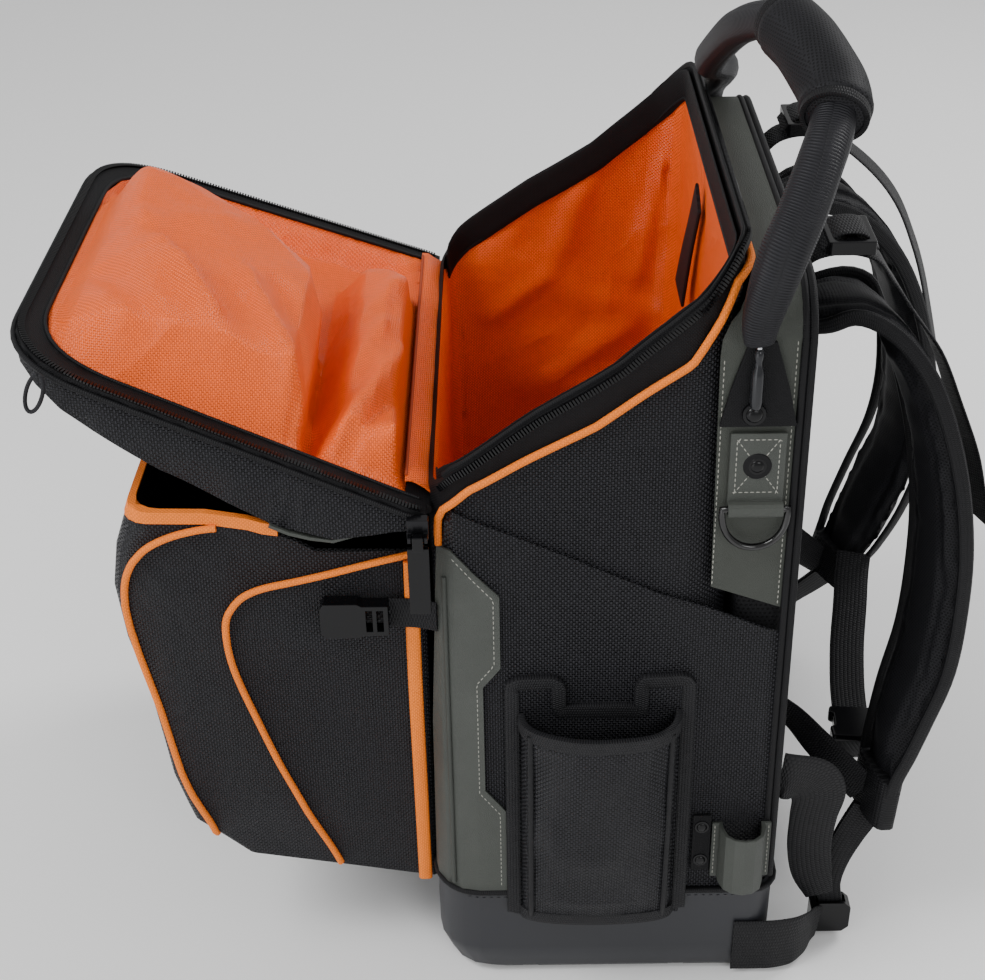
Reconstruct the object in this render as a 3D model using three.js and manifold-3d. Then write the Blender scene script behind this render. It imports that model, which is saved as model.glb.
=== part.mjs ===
// Tool backpack: a moulded base tub, a box-shaped ballistic-fabric pack with a slanted zipped mouth,
// a lid that lies folded forward over a deep front pouch, a carry handle and a padded harness.
// Millimetres. +X is the wearer's right, +Y runs from the pouch to the wearer's back, +Z is up.
// The origin is the middle of the base's underside.
import * as THREE from "three";
import { mergeVertices } from "three/addons/utils/BufferGeometryUtils.js";
import Module from "manifold-3d";

const wasm = await Module();
wasm.setup();

// Driving dimensions of the pack.
const PACK_WIDTH = 364;
const PACK_DEPTH = 206;
const PACK_HEIGHT = 500;
const BASE_HEIGHT = 78;
const SIDE_SLOPE = 0.0728;
const FRONT_RADIUS = 24;
const MOUTH_RADIUS = 28;
const BACK_RADIUS = 12;
const BACK_PAD_THICKNESS = 34.6;
const BACK_PAD_HEIGHT = 475;
const SHOULDER_RADIUS = 34;
const TUB_WALL = 3;
const TUB_FLOOR = 18;
const TUB_GROOVE = { half: 5, depth: 2 };
const SHELL_WALL = 2.8;
const LINING_WALL = 1.4;
const PIPING_RADIUS = 2.2;
const GAP = 0.35;

// Flat pieces sewn on the sides, as layers out from the pack's wall.
const POCKET_THICKNESS = 2;
const PATCH_THICKNESS = 1.5;
const YOKE_THICKNESS = 1.7;
const WEBBING_THICKNESS = 1.8;

// Lid, folded forward.
const LID_LENGTH = 241;
const LID_HINGE_WIDTH = 326;
const LID_TIP_WIDTH = 292;
const LID_WALL = 3;
const LID_TILT = 22.4;
const LID_BAND_WIDTH = 12;
const LID_BAND_HEIGHT = 2.8;
const LID_PUFF = 20;
const HINGE_HEIGHT = 346;

// Front pouch.
const POUCH_WIDTH = 310;
const POUCH_DEPTH = 180;
const POUCH_HEIGHT = 287;
const POUCH_FLOOR = 60;
const POUCH_WALL = 3;
const POUCH_EDGE = 8;

// Hardware and harness.
const RING_WIRE = 2;
const RING_WIDTH = 36;
const RING_DROP = 24;
const TAB_WIDTH = 30;
const TAB_THICKNESS = 2.4;
const ANCHOR_THICKNESS = 2.6;
const SLEEVE_RADIUS = 3.4;
const HOLSTER_WIDTH = 103;
const HOLSTER_HEIGHT = 180;
const HOLSTER_DEPTH = 30;
const HOLSTER_WALL = 2.4;
const HOLSTER_PLATE = 2;
const HOLSTER_CUP_SHARE = 0.9;
const TOOL_LOOP_WIDTH = 36;
const TOOL_LOOP_DEPTH = 20;
const TOOL_LOOP_HEIGHT = 42;
const TOOL_LOOP_WALL = 2.2;
const LOOP_TAB = { width: 11, height: 43, thick: 2 };
const HANDLE_RADIUS = 11;
const GRIP_RADIUS = 18.5;
const PAD_WIDTH = 60;
const PAD_THICKNESS = 15;
const KEEPER_WALL = 1.8;
const LOAD_BUCKLE = { wide: 36, deep: 26, tall: 8, floor: 2.5 };
const BASE_STRAP_WIDTH = 44;
const NARROW_STRAP = 25;

const FRONT = -PACK_DEPTH / 2;
const BACK = PACK_DEPTH / 2;
const SHELL_BACK = BACK - BACK_PAD_THICKNESS - GAP;
const POCKET_FACE = GAP + POCKET_THICKNESS;
const YOKE_FACE = GAP + YOKE_THICKNESS;
// Where what is sewn on a side pocket starts.
const SEWN_FACE = POCKET_FACE + GAP + 0.4;
const TALL = PACK_HEIGHT + 60;

// Share of the pack's depth from the front, and share of its height, as a point in side view.
const atDepth = (share) => FRONT + share * PACK_DEPTH;
const atHeight = (share) => share * PACK_HEIGHT;
const sidePoint = ([depth, height]) => [atDepth(depth), atHeight(height)];

// Mouth in side view, columns: depth share, height share.
const SEAM = [
  [-0.03, 0.62],
  [0.035, 0.695],
  [0.11, 0.727],
  [0.28, 0.766],
  [0.45, 0.804],
  [0.69, 0.874],
  [0.77, 0.928],
  [0.8, 0.958],
  [0.84, 0.968],
];
const ZIP_LINE = [
  [-0.03, 0.688],
  [0.015, 0.716],
  [0.07, 0.744],
  [0.175, 0.776],
  [0.305, 0.814],
  [0.515, 0.868],
  [0.64, 0.912],
  [0.725, 0.944],
  [0.78, 0.974],
  [0.81, 0.992],
  [0.84, 1],
];

const halfWidthAt = (z) =>
  PACK_WIDTH / 2 - SIDE_SLOPE * Math.max(0, z - BASE_HEIGHT);

// Height of a curve given in shares, at a place in Y.
function heightOn(curve, y) {
  const line = curve.map(sidePoint);
  const last = line.length - 1;
  if (y <= line[0][0]) return line[0][1];
  for (let i = 0; i < last; i++) {
    const [y0, z0] = line[i];
    const [y1, z1] = line[i + 1];
    if (y <= y1) return z0 + ((y - y0) / (y1 - y0)) * (z1 - z0);
  }
  return line[last][1];
}

// A closed solid from a geometry, and back.
function solid(geometry) {
  const bare = geometry.clone();
  bare.deleteAttribute("normal");
  bare.deleteAttribute("uv");
  const merged = mergeVertices(bare, 1e-3);
  return new wasm.Manifold(
    new wasm.Mesh({
      numProp: 3,
      vertProperties: new Float32Array(merged.attributes.position.array),
      triVerts: new Uint32Array(merged.index.array),
    })
  );
}

function geometryOf(made) {
  const { vertProperties, triVerts } = made.getMesh();
  const geometry = new THREE.BufferGeometry();
  geometry.setAttribute(
    "position",
    new THREE.BufferAttribute(new Float32Array(vertProperties), 3)
  );
  geometry.setIndex(new THREE.BufferAttribute(new Uint32Array(triVerts), 1));
  geometry.computeVertexNormals();
  return geometry;
}

// Skins a row of rings that have the same number of points, and closes both ends.
function loft(rings) {
  const count = rings[0].length;
  const positions = rings.flat().flatMap((p) => [p.x, p.y, p.z]);
  const index = [];
  for (let r = 0; r + 1 < rings.length; r++) {
    for (let i = 0; i < count; i++) {
      const a = r * count + i;
      const b = r * count + ((i + 1) % count);
      index.push(a, b, b + count, a, b + count, a + count);
    }
  }
  const cap = (ring, start, turned) => {
    const middle = new THREE.Vector3();
    ring.forEach((p) => middle.addScaledVector(p, 1 / count));
    const centre = positions.length / 3;
    positions.push(middle.x, middle.y, middle.z);
    for (let i = 0; i < count; i++) {
      const a = start + i;
      const b = start + ((i + 1) % count);
      if (turned) index.push(centre, a, b);
      else index.push(centre, b, a);
    }
  };
  cap(rings[0], 0, false);
  cap(rings[rings.length - 1], (rings.length - 1) * count, true);
  const geometry = new THREE.BufferGeometry();
  geometry.setAttribute(
    "position",
    new THREE.Float32BufferAttribute(positions, 3)
  );
  geometry.setIndex(index);
  const made = solid(geometry);
  if (made.volume() > 0) return made;
  for (let i = 0; i < index.length; i += 3) {
    [index[i + 1], index[i + 2]] = [index[i + 2], index[i + 1]];
  }
  geometry.setIndex(index);
  return solid(geometry);
}

// Extrudes an outline of [u, v] points: prismX runs along X from [y, z] points, and so on.
function extruded(points, low, high, basis) {
  const shape = new THREE.Shape(points.map(([u, v]) => new THREE.Vector2(u, v)));
  const geometry = new THREE.ExtrudeGeometry(shape, {
    depth: high - low,
    bevelEnabled: false,
  });
  geometry.translate(0, 0, low);
  geometry.applyMatrix4(basis);
  return solid(geometry);
}
const unitX = new THREE.Vector3(1, 0, 0);
const unitY = new THREE.Vector3(0, 1, 0);
const unitZ = new THREE.Vector3(0, 0, 1);
const alongX = new THREE.Matrix4().makeBasis(unitY, unitZ, unitX);
const alongY = new THREE.Matrix4().makeBasis(unitZ, unitX, unitY);
const alongZ = new THREE.Matrix4();
const prismX = (points, low, high) => extruded(points, low, high, alongX);
const prismZ = (points, low, high) => extruded(points, low, high, alongZ);
// The outline for prismY is given as [x, z].
const prismY = (points, low, high) =>
  extruded(points.map(([x, z]) => [z, x]), low, high, alongY);

function box(x0, x1, y0, y1, z0, z1) {
  const geometry = new THREE.BoxGeometry(x1 - x0, y1 - y0, z1 - z0);
  geometry.translate((x0 + x1) / 2, (y0 + y1) / 2, (z0 + z1) / 2);
  return solid(geometry);
}

// A rod between two points.
function rod(from, to, radius, sides = 10) {
  const axis = to.clone().sub(from);
  const geometry = new THREE.CylinderGeometry(radius, radius, axis.length(), sides);
  const turn = new THREE.Quaternion().setFromUnitVectors(
    unitY,
    axis.clone().normalize()
  );
  geometry.applyQuaternion(turn);
  const middle = from.clone().add(to).multiplyScalar(0.5);
  geometry.translate(middle.x, middle.y, middle.z);
  return solid(geometry);
}

// Plan of a box with rounded corners at one height, as a ring of points.
function planRing({ half, front, back, frontRadius, backRadius, heightAt }) {
  const steps = 4;
  const corners = [
    [1, back, backRadius, 0],
    [-1, back, backRadius, 1],
    [-1, front, frontRadius, 2],
    [1, front, frontRadius, 3],
  ];
  return corners.flatMap(([side, edge, radius, quarter]) => {
    const inward = edge === back ? -1 : 1;
    return Array.from({ length: steps + 1 }, (_, i) => {
      const angle = ((quarter + i / steps) * Math.PI) / 2;
      const x = side * (half - radius) + radius * Math.cos(angle);
      const y = edge + inward * radius + radius * Math.sin(angle);
      return new THREE.Vector3(x, y, heightAt(y));
    });
  });
}

// The pack's upright form, grown by an offset, between two heights.
function column(offset, low, high, back = BACK, backRadius = BACK_RADIUS) {
  const levels = [low, ...(low < BASE_HEIGHT ? [BASE_HEIGHT] : []), high];
  return loft(
    levels.map((z) =>
      planRing({
        half: halfWidthAt(z) + offset,
        front: FRONT - offset,
        back: back + offset,
        frontRadius: FRONT_RADIUS + offset,
        backRadius: Math.max(1, backRadius + offset),
        heightAt: () => z,
      })
    )
  );
}
const shellColumn = (offset, low, high) =>
  column(offset, low, high, SHELL_BACK, MOUTH_RADIUS);

// Everything above a side-view curve, and everything below it.
function above(curve, lift = 0, reach = PACK_WIDTH) {
  const line = curve.map(sidePoint).map(([y, z]) => [y, z + lift]);
  const first = line[0];
  const last = line[line.length - 1];
  return prismX(
    [
      [first[0] - PACK_DEPTH, first[1]],
      ...line,
      [last[0] + PACK_DEPTH, last[1]],
      [last[0] + PACK_DEPTH, TALL + lift],
      [first[0] - PACK_DEPTH, TALL + lift],
    ],
    -reach,
    reach
  );
}

// Outline in [x, z] that rounds the two shoulders of the pack's back section.
function shoulderOutline(offset) {
  const centreHeight = BACK_PAD_HEIGHT - SHOULDER_RADIUS;
  const centre = halfWidthAt(centreHeight) - SHOULDER_RADIUS;
  const radius = SHOULDER_RADIUS + offset;
  const arc = Array.from({ length: 7 }, (_, i) => {
    const angle = (i / 6) * (Math.PI / 2);
    return [
      centre + radius * Math.cos(angle),
      centreHeight + radius * Math.sin(angle),
    ];
  });
  const right = [[PACK_WIDTH / 2 + offset + 2, 0], ...arc];
  const left = right.map(([x, z]) => [-x, z]).reverse();
  return [...right, ...left];
}
const packForm = (offset) =>
  column(offset, GAP, PACK_HEIGHT).intersect(
    prismY(shoulderOutline(offset), -PACK_DEPTH, PACK_DEPTH)
  );

// Places what is built on a level sheet (x out, y back, z up) on the pack's leaning right side.
const sideFrame = new THREE.Matrix4()
  .makeTranslation(PACK_WIDTH / 2, 0, BASE_HEIGHT)
  .multiply(new THREE.Matrix4().makeRotationY(-Math.atan(SIDE_SLOPE)));
const lidFrame = new THREE.Matrix4()
  .makeTranslation(0, FRONT - LID_BAND_HEIGHT * 0.4 - 2 * GAP, HINGE_HEIGHT)
  .multiply(new THREE.Matrix4().makeRotationX((-LID_TILT * Math.PI) / 180));
const placed = (made, matrix) => made.transform(matrix.elements);
const upSide = (z) => (z - BASE_HEIGHT) * Math.hypot(1, SIDE_SLOPE);

// Sweeps a section along a path. Rows: point, width, thickness, and the way the width runs.
function strap(rows, { sides = 4, power = 1 } = {}) {
  const points = rows.map((row) => new THREE.Vector3(...row.at));
  const rings = rows.map((row, i) => {
    const before = points[Math.max(0, i - 1)];
    const after = points[Math.min(points.length - 1, i + 1)];
    const tangent = after.clone().sub(before).normalize();
    const across = new THREE.Vector3(...row.across);
    across.addScaledVector(tangent, -across.dot(tangent)).normalize();
    const through = tangent.clone().cross(across);
    return Array.from({ length: sides }, (_, k) => {
      const angle = ((k + 0.5) / sides) * Math.PI * 2;
      const grow = sides === 4 ? Math.SQRT2 : 1;
      const c = Math.cos(angle) * grow;
      const s = Math.sin(angle) * grow;
      const u = Math.sign(c) * Math.abs(c) ** power;
      const v = Math.sign(s) * Math.abs(s) ** power;
      return points[i]
        .clone()
        .addScaledVector(across, (u * row.width) / 2)
        .addScaledVector(through, (v * row.thick) / 2);
    });
  });
  return loft(rings);
}

// Evenly spaced rows on a smooth line through a few rows.
function smoothRows(rows, steps) {
  const fields = (pick) =>
    new THREE.CatmullRomCurve3(rows.map((row) => new THREE.Vector3(...pick(row))));
  const line = fields((row) => row.at);
  const size = fields((row) => [row.width, row.thick, 0]);
  const way = fields((row) => row.across);
  return Array.from({ length: steps + 1 }, (_, i) => {
    const t = i / steps;
    const measured = size.getPoint(t);
    return {
      at: line.getPoint(t).toArray(),
      width: measured.x,
      thick: measured.y,
      across: way.getPoint(t).toArray(),
    };
  });
}

// A round cord along a smooth line.
function tube(points, radius, steps, sides = 8) {
  const section = new THREE.Shape();
  section.absarc(0, 0, radius, 0, Math.PI * 2);
  const outline = new THREE.Shape(section.getSpacedPoints(sides).slice(0, sides));
  const path = new THREE.CatmullRomCurve3(
    points.map((p) => new THREE.Vector3(...p)),
    false,
    "centripetal"
  );
  return solid(
    new THREE.ExtrudeGeometry(outline, { extrudePath: path, steps, bevelEnabled: false })
  );
}

// Colours and surfaces.
const finish = (color, roughness, metalness = 0) =>
  new THREE.MeshStandardMaterial({ color, roughness, metalness });
const MATERIALS = {
  ballistic: finish(0x17181b, 0.75),
  lining: finish(0xe06a1e, 0.6),
  greyLeather: finish(0x4b504c, 0.55),
  moulded: finish(0x1d1e22, 0.5),
  orangeTrim: finish(0xee8a3c, 0.6),
  webbing: finish(0x141416, 0.7),
  padding: finish(0x101012, 0.85),
  blackMetal: finish(0x26272a, 0.3, 0.8),
  steel: finish(0xb9bcc0, 0.25, 0.9),
  hardPlastic: finish(0x1b1c20, 0.35),
  greyWebbing: finish(0x5a5f5c, 0.6),
};

const pack = new THREE.Group();
const mirrored = new THREE.Group();
mirrored.scale.x = -1;
pack.add(mirrored);
function add(name, made, material, parent = pack) {
  const mesh = new THREE.Mesh(geometryOf(made), MATERIALS[material]);
  mesh.name = name;
  parent.add(mesh);
}
function addPair(name, made, material) {
  add(`${name}_right`, made, material);
  add(`${name}_left`, made, material, mirrored);
}

// Base tub. Rows: height, then how far the side, front and back draw in below.
function baseTub() {
  const foot = [
    [0, 7, 16, 5],
    [7, 2, 6, 1],
    [24, 0, 0, 0],
    [BASE_HEIGHT, 0, 0, 0],
  ];
  const outer = loft(
    foot.map(([z, sideIn, frontIn, backIn]) =>
      planRing({
        half: PACK_WIDTH / 2 + TUB_WALL - sideIn,
        front: FRONT - TUB_WALL + frontIn,
        back: BACK + TUB_WALL - backIn,
        frontRadius: FRONT_RADIUS + TUB_WALL,
        backRadius: BACK_RADIUS + TUB_WALL,
        heightAt: () => z,
      })
    )
  );
  const inner = column(GAP, TUB_FLOOR, BASE_HEIGHT + 5);
  const grooves = [0.27, 0.73].map((share) =>
    box(
      -PACK_WIDTH,
      PACK_WIDTH,
      atDepth(share) - TUB_GROOVE.half,
      atDepth(share) + TUB_GROOVE.half,
      -1,
      TUB_GROOVE.depth
    )
  );
  return grooves.reduce((made, groove) => made.subtract(groove), outer.subtract(inner));
}

function packShell() {
  const outer = shellColumn(0, TUB_FLOOR + GAP, TALL);
  const inner = shellColumn(-SHELL_WALL, TUB_FLOOR + GAP + SHELL_WALL, TALL + 5);
  return outer.subtract(inner).subtract(above(SEAM));
}

function packLining() {
  const start = SHELL_WALL + GAP;
  const low = TUB_FLOOR + 2 * GAP + SHELL_WALL;
  const outer = shellColumn(-start, low, TALL);
  const inner = shellColumn(-start - LINING_WALL, low + LINING_WALL, TALL + 5);
  return outer.subtract(inner).subtract(above(SEAM, 6));
}

function mouthBand() {
  const wall = shellColumn(0, BASE_HEIGHT, TALL).subtract(
    shellColumn(-SHELL_WALL, BASE_HEIGHT - 5, TALL + 5)
  );
  return wall.intersect(above(SEAM, GAP)).subtract(above(ZIP_LINE));
}

// Where the mouth's piping runs, round the right side and the back to the left side.
function pipingPath() {
  const out = PIPING_RADIUS + GAP;
  const reachFront = FRONT_RADIUS + out;
  const front = Array.from({ length: 4 }, (_, i) => {
    const angle = THREE.MathUtils.degToRad(42 - i * 14);
    const y = FRONT + FRONT_RADIUS - reachFront * Math.sin(angle);
    const z = heightOn(SEAM, y);
    const x = halfWidthAt(z) - FRONT_RADIUS + reachFront * Math.cos(angle);
    return [x, y, z];
  });
  const cornerStart = SHELL_BACK - MOUTH_RADIUS;
  const side = [0.2, 0.3, 0.42, 0.55].map((share) => {
    const y = atDepth(share);
    const z = heightOn(SEAM, y);
    return [halfWidthAt(z) + out, y, z];
  });
  const reach = MOUTH_RADIUS + out;
  const corner = [0, 0.25, 0.5, 0.75, 1].map((share) => {
    const angle = (share * Math.PI) / 2;
    const y = cornerStart + reach * Math.sin(angle);
    const z = heightOn(SEAM, y);
    return [halfWidthAt(z) - MOUTH_RADIUS + reach * Math.cos(angle), y, z + 0.5];
  });
  const right = [...front, ...side, ...corner];
  const left = right.map(([x, y, z]) => [-x, y, z]).reverse();
  return [...right, [0, right[right.length - 1][1], right[right.length - 1][2]], ...left];
}
const PIPING = pipingPath();
const PIPING_STEPS = 48;
const pipingRoom = () => tube(PIPING, PIPING_RADIUS + GAP, PIPING_STEPS, 8);

function backPad() {
  const low = TUB_FLOOR + GAP;
  const slab = column(0, low, PACK_HEIGHT).subtract(
    box(-PACK_WIDTH, PACK_WIDTH, -PACK_DEPTH, SHELL_BACK + GAP, 0, TALL)
  );
  return slab.intersect(prismY(shoulderOutline(0), -PACK_DEPTH, PACK_DEPTH));
}

// Side slip pocket: its top edge falls from the front of the mouth to the back.
const POCKET_EDGE = [
  [-0.03, 0.716],
  [0.975, 0.533],
];
function pocketRegion(lift, backShare = 0.975) {
  const [from, to] = POCKET_EDGE.map(sidePoint);
  return [
    [from[0] - 10, BASE_HEIGHT + GAP],
    [atDepth(backShare), BASE_HEIGHT + GAP],
    [atDepth(backShare), to[1] + lift],
    [from[0], from[1] + lift],
    [from[0] - 10, from[1] + lift],
  ];
}
const FRONT_WRAP = 0.88;
function slipPocket() {
  const layer = column(POCKET_FACE, BASE_HEIGHT, TALL).subtract(
    column(GAP, BASE_HEIGHT - 5, TALL + 5)
  );
  const region = prismX(pocketRegion(0), (PACK_WIDTH / 2) * FRONT_WRAP, PACK_WIDTH);
  return layer.intersect(region).subtract(pipingRoom()).subtract(pulledEdge());
}
// What the pocket leaves to the zip band at the mouth's front corner.
const pulledEdge = () => above(SEAM, -PIPING_RADIUS - GAP);

// Grey wear patch at the front corner. Columns: depth share, height share.
const PATCH = [
  [-0.05, 0.65],
  [0.06, 0.65],
  [0.19, 0.596],
  [0.19, 0.5],
  [0.14, 0.472],
  [0.14, 0.318],
  [0.2, 0.286],
];
function cornerPatch() {
  const face = POCKET_FACE + GAP;
  const layer = column(face + PATCH_THICKNESS, BASE_HEIGHT, TALL).subtract(
    column(face, BASE_HEIGHT - 5, TALL + 5)
  );
  const edge = PATCH.map(sidePoint);
  const low = BASE_HEIGHT + GAP;
  const outline = [
    ...edge,
    [edge[edge.length - 1][0], low],
    [edge[0][0], low],
  ].reverse();
  return layer
    .intersect(prismX(outline, (PACK_WIDTH / 2) * FRONT_WRAP, PACK_WIDTH))
    .subtract(pipingRoom());
}

// Grey yoke: over the back section's shoulders and down both sides.
const YOKE_FRONT = 0.75;
const YOKE_BACK = 0.975;
function yoke() {
  const cloth = packForm(YOKE_FACE).subtract(packForm(GAP));
  const band = box(
    -PACK_WIDTH,
    PACK_WIDTH,
    atDepth(YOKE_FRONT),
    atDepth(YOKE_BACK),
    PACK_HEIGHT / 2,
    TALL
  );
  const pocketBelow = prismX(pocketRegion(GAP, 1.2), -PACK_WIDTH, PACK_WIDTH);
  const mouthFront = above(SEAM, -2 * PIPING_RADIUS).intersect(
    box(-PACK_WIDTH, PACK_WIDTH, -PACK_DEPTH, SHELL_BACK - 6, 0, TALL)
  );
  return cloth
    .intersect(band)
    .subtract(pocketBelow)
    .subtract(mouthFront)
    .subtract(shellColumn(2 * PIPING_RADIUS + 2 * GAP, 0, TALL));
}

// Holster on the right side pocket, built in the side's own frame.
// Rows: share of the height, share of the depth that stands out.
const HOLSTER_ROWS = [
  [0.02, 0.3],
  [0.12, 0.55],
  [0.45, 0.8],
  [0.86, 1],
];
const HOLSTER_MIDDLE = 0.47;
function holster() {
  const back = SEWN_FACE;
  const plate = HOLSTER_PLATE;
  const middle = atDepth(HOLSTER_MIDDLE);
  const low = upSide(BASE_HEIGHT) - HOLSTER_HEIGHT * 0.1;
  const ring = ([up, out], inset) => {
    const reach = HOLSTER_DEPTH * out - inset;
    const half = (HOLSTER_WIDTH / 2) * HOLSTER_CUP_SHARE - inset;
    const base = inset ? back + plate : back;
    return Array.from({ length: 11 }, (_, i) => {
      const angle = (i / 10) * Math.PI - Math.PI / 2;
      return new THREE.Vector3(
        base + (reach + (inset ? 0 : plate)) * Math.cos(angle) ** 0.7,
        middle + half * Math.sin(angle),
        low + HOLSTER_HEIGHT * up + (inset && up < 0.1 ? inset : 0)
      );
    });
  };
  const cup = loft(HOLSTER_ROWS.map((row) => ring(row, 0)));
  const mouthRow = [HOLSTER_ROWS[3][0] + 0.1, HOLSTER_ROWS[3][1]];
  const hollow = loft([...HOLSTER_ROWS, mouthRow].map((row) => ring(row, HOLSTER_WALL)));
  const sheet = box(
    back,
    back + plate,
    middle - HOLSTER_WIDTH / 2,
    middle + HOLSTER_WIDTH / 2,
    low,
    low + HOLSTER_HEIGHT
  );
  return placed(cup.subtract(hollow).add(sheet), sideFrame);
}

// Leather tool loop behind the holster, open above and below.
const LOOP_START = 0.83;
function toolLoop() {
  const back = SEWN_FACE;
  const from = atDepth(LOOP_START) - 4;
  const to = from + TOOL_LOOP_WIDTH;
  const wall = TOOL_LOOP_WALL;
  const bow = (inset, share) => {
    const middle = (from + to) / 2;
    const half = (TOOL_LOOP_WIDTH / 2) * 0.78 - inset;
    const angle = Math.PI * share - Math.PI / 2;
    return [
      back + (TOOL_LOOP_DEPTH - inset) * Math.cos(angle) ** 0.6,
      middle + half * Math.sin(angle),
    ];
  };
  const shares = [0, 0.06, 0.2, 0.35, 0.5, 0.65, 0.8, 0.94, 1];
  const outside = shares.map((s) => bow(0, s));
  const inside = shares.map((s) => bow(wall, s)).reverse();
  const outline = [
    [back, from],
    [back + wall, from],
    ...outside.map(([x, y]) => [Math.max(x, back + wall), y]),
    [back + wall, to],
    [back, to],
    ...inside.map(([x, y]) => [Math.max(x, back), y]),
  ];
  const low = upSide(BASE_HEIGHT) + 11;
  return placed(prismZ(outline, low, low + TOOL_LOOP_HEIGHT), sideFrame);
}
function toolLoopTab() {
  const end = atDepth(LOOP_START) - 5;
  const low = upSide(BASE_HEIGHT) + 16;
  const { width, height, thick } = LOOP_TAB;
  return placed(
    box(SEWN_FACE, SEWN_FACE + thick, end - width, end, low, low + height),
    sideFrame
  );
}

// Ring tab: leather square with a webbing loop round the ring's bar.
const RING_HEIGHT = 0.704;
const RING_DEPTH_SHARE = 0.87;
const RING_ROOM = 0.7;
const TAB_FACE = YOKE_FACE + GAP;
const ringBar = () => ({
  x: TAB_FACE + RING_WIRE + RING_ROOM + WEBBING_THICKNESS,
  y: atDepth(RING_DEPTH_SHARE),
  z: upSide(atHeight(RING_HEIGHT)),
});
function ringTab() {
  const bar = ringBar();
  const half = TAB_WIDTH / 2;
  const hole = RING_WIRE + RING_ROOM;
  const eye = rod(
    new THREE.Vector3(bar.x, bar.y - half, bar.z),
    new THREE.Vector3(bar.x, bar.y + half, bar.z),
    hole + WEBBING_THICKNESS,
    12
  );
  const bore = rod(
    new THREE.Vector3(bar.x, bar.y - half - 2, bar.z),
    new THREE.Vector3(bar.x, bar.y + half + 2, bar.z),
    hole,
    12
  );
  const strapLow = bar.z + hole * 0.4;
  const patch = box(
    TAB_FACE,
    TAB_FACE + TAB_THICKNESS,
    bar.y - half,
    bar.y + half,
    strapLow,
    bar.z + TAB_WIDTH * 1.5
  );
  return placed(eye.add(patch).subtract(bore), sideFrame);
}
function dRing() {
  const bar = ringBar();
  const half = RING_WIDTH / 2;
  const bow = Array.from({ length: 13 }, (_, i) => {
    const angle = (i / 12) * Math.PI;
    return {
      at: [
        bar.x,
        bar.y + half * Math.cos(angle),
        bar.z - RING_DROP * Math.sin(angle) ** 0.8,
      ],
      width: RING_WIRE * 2,
      thick: RING_WIRE * 2,
      across: [1, 0, 0],
    };
  });
  const straight = rod(
    new THREE.Vector3(bar.x, bar.y - half, bar.z),
    new THREE.Vector3(bar.x, bar.y + half, bar.z),
    RING_WIRE,
    10
  );
  const ends = [-half, half].map((y) => {
    const ball = new THREE.SphereGeometry(RING_WIRE * 1.04, 8, 6);
    ball.translate(bar.x, bar.y + y, bar.z);
    return solid(ball);
  });
  const made = strap(bow, { sides: 8 }).add(straight).add(ends[0]).add(ends[1]);
  return placed(made, sideFrame);
}

// Folded webbing that carries the handle. It narrows upward.
const ANCHOR_LOW = 0.802;
const ANCHOR_HIGH = 0.9;
function handleAnchor() {
  const face = TAB_FACE;
  const low = upSide(atHeight(ANCHOR_LOW));
  const high = upSide(atHeight(ANCHOR_HIGH));
  const outline = [
    [atDepth(0.765), low],
    [atDepth(0.965), low],
    [atDepth(0.94), low + (high - low) * 0.45],
    [atDepth(0.9), high],
    [atDepth(0.83), high],
    [atDepth(0.79), low + (high - low) * 0.45],
  ];
  return placed(prismX(outline, face, face + ANCHOR_THICKNESS), sideFrame);
}
// Steel link riveted to the anchor.
function handleLink() {
  const x = TAB_FACE + ANCHOR_THICKNESS + GAP + SLEEVE_RADIUS;
  const y = atDepth(0.852);
  const z = upSide(atHeight(0.818));
  const at = (dx, dz) => new THREE.Vector3(x + dx, y, z + dz);
  const eye = rod(at(-SLEEVE_RADIUS, 0), at(0.4, 0), 2 * SLEEVE_RADIUS, 14);
  const sleeve = rod(at(0, 5), at(0, 27), SLEEVE_RADIUS, 10);
  const neck = rod(at(0, 26), at(0, 40), 1.9, 8);
  return placed(eye.add(sleeve).add(neck), sideFrame);
}

// Carry handle. Rows: x, y and z of the centreline, chosen by hand, then width and thickness.
const HANDLE_PATH = [
  [161, 73, 446, 14, 7],
  [166, 72, 466, 20, 15],
  [165, 79, 497, 25, 23],
  [156, 89, 519, 25, 24],
  [142, 99, 541, 24, 24],
  [127, 106, 553, 23, 23],
  [108, 110, 562, 22, 22],
  [86, 105, 571, 22, 22],
  [64, 98, 578, 22, 22],
  [38, 88, 580, 21, 21],
  [4, 76, 566, 20, 20],
  [-38, 70, 541, 19, 19],
  [-75, 69.5, 519, 19, 19],
  [-105, 81, 506, 20, 19],
  [-136, 84, 491, 22, 19],
  [-163, 80, 470, 23, 15],
  [-161, 77, 446, 22, 7],
];
const handleRows = (grow = 0) =>
  HANDLE_PATH.map(([x, y, z, width, thick]) => ({
    at: [x, y, z],
    width: (width * HANDLE_RADIUS) / 11 + grow,
    thick: (thick * HANDLE_RADIUS) / 11 + grow,
    across: [0, 1, 0.15],
  }));
// The handle's flat ends stand on the tops of their anchors.
const HANDLE_SEAT = atHeight(ANCHOR_HIGH) + 2 * GAP;
function carryHandle() {
  const below = box(-PACK_WIDTH, PACK_WIDTH, 0, PACK_DEPTH, 0, HANDLE_SEAT);
  return strap(smoothRows(handleRows(), 36), { sides: 10 }).subtract(below);
}
function handleGrip() {
  const from = 12;
  const to = 20;
  const inner = smoothRows(handleRows(2 * GAP + 0.6), 36);
  const outer = inner.slice(from, to + 1).map((row, i, all) => {
    const end = Math.min(i, all.length - 1 - i);
    const size = 2 * GRIP_RADIUS * (end === 0 ? 0.86 : 1);
    return { ...row, width: size, thick: size };
  });
  const core = strap(inner.slice(from - 1, to + 2), { sides: 10 });
  return strap(outer, { sides: 10 }).subtract(core);
}

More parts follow.
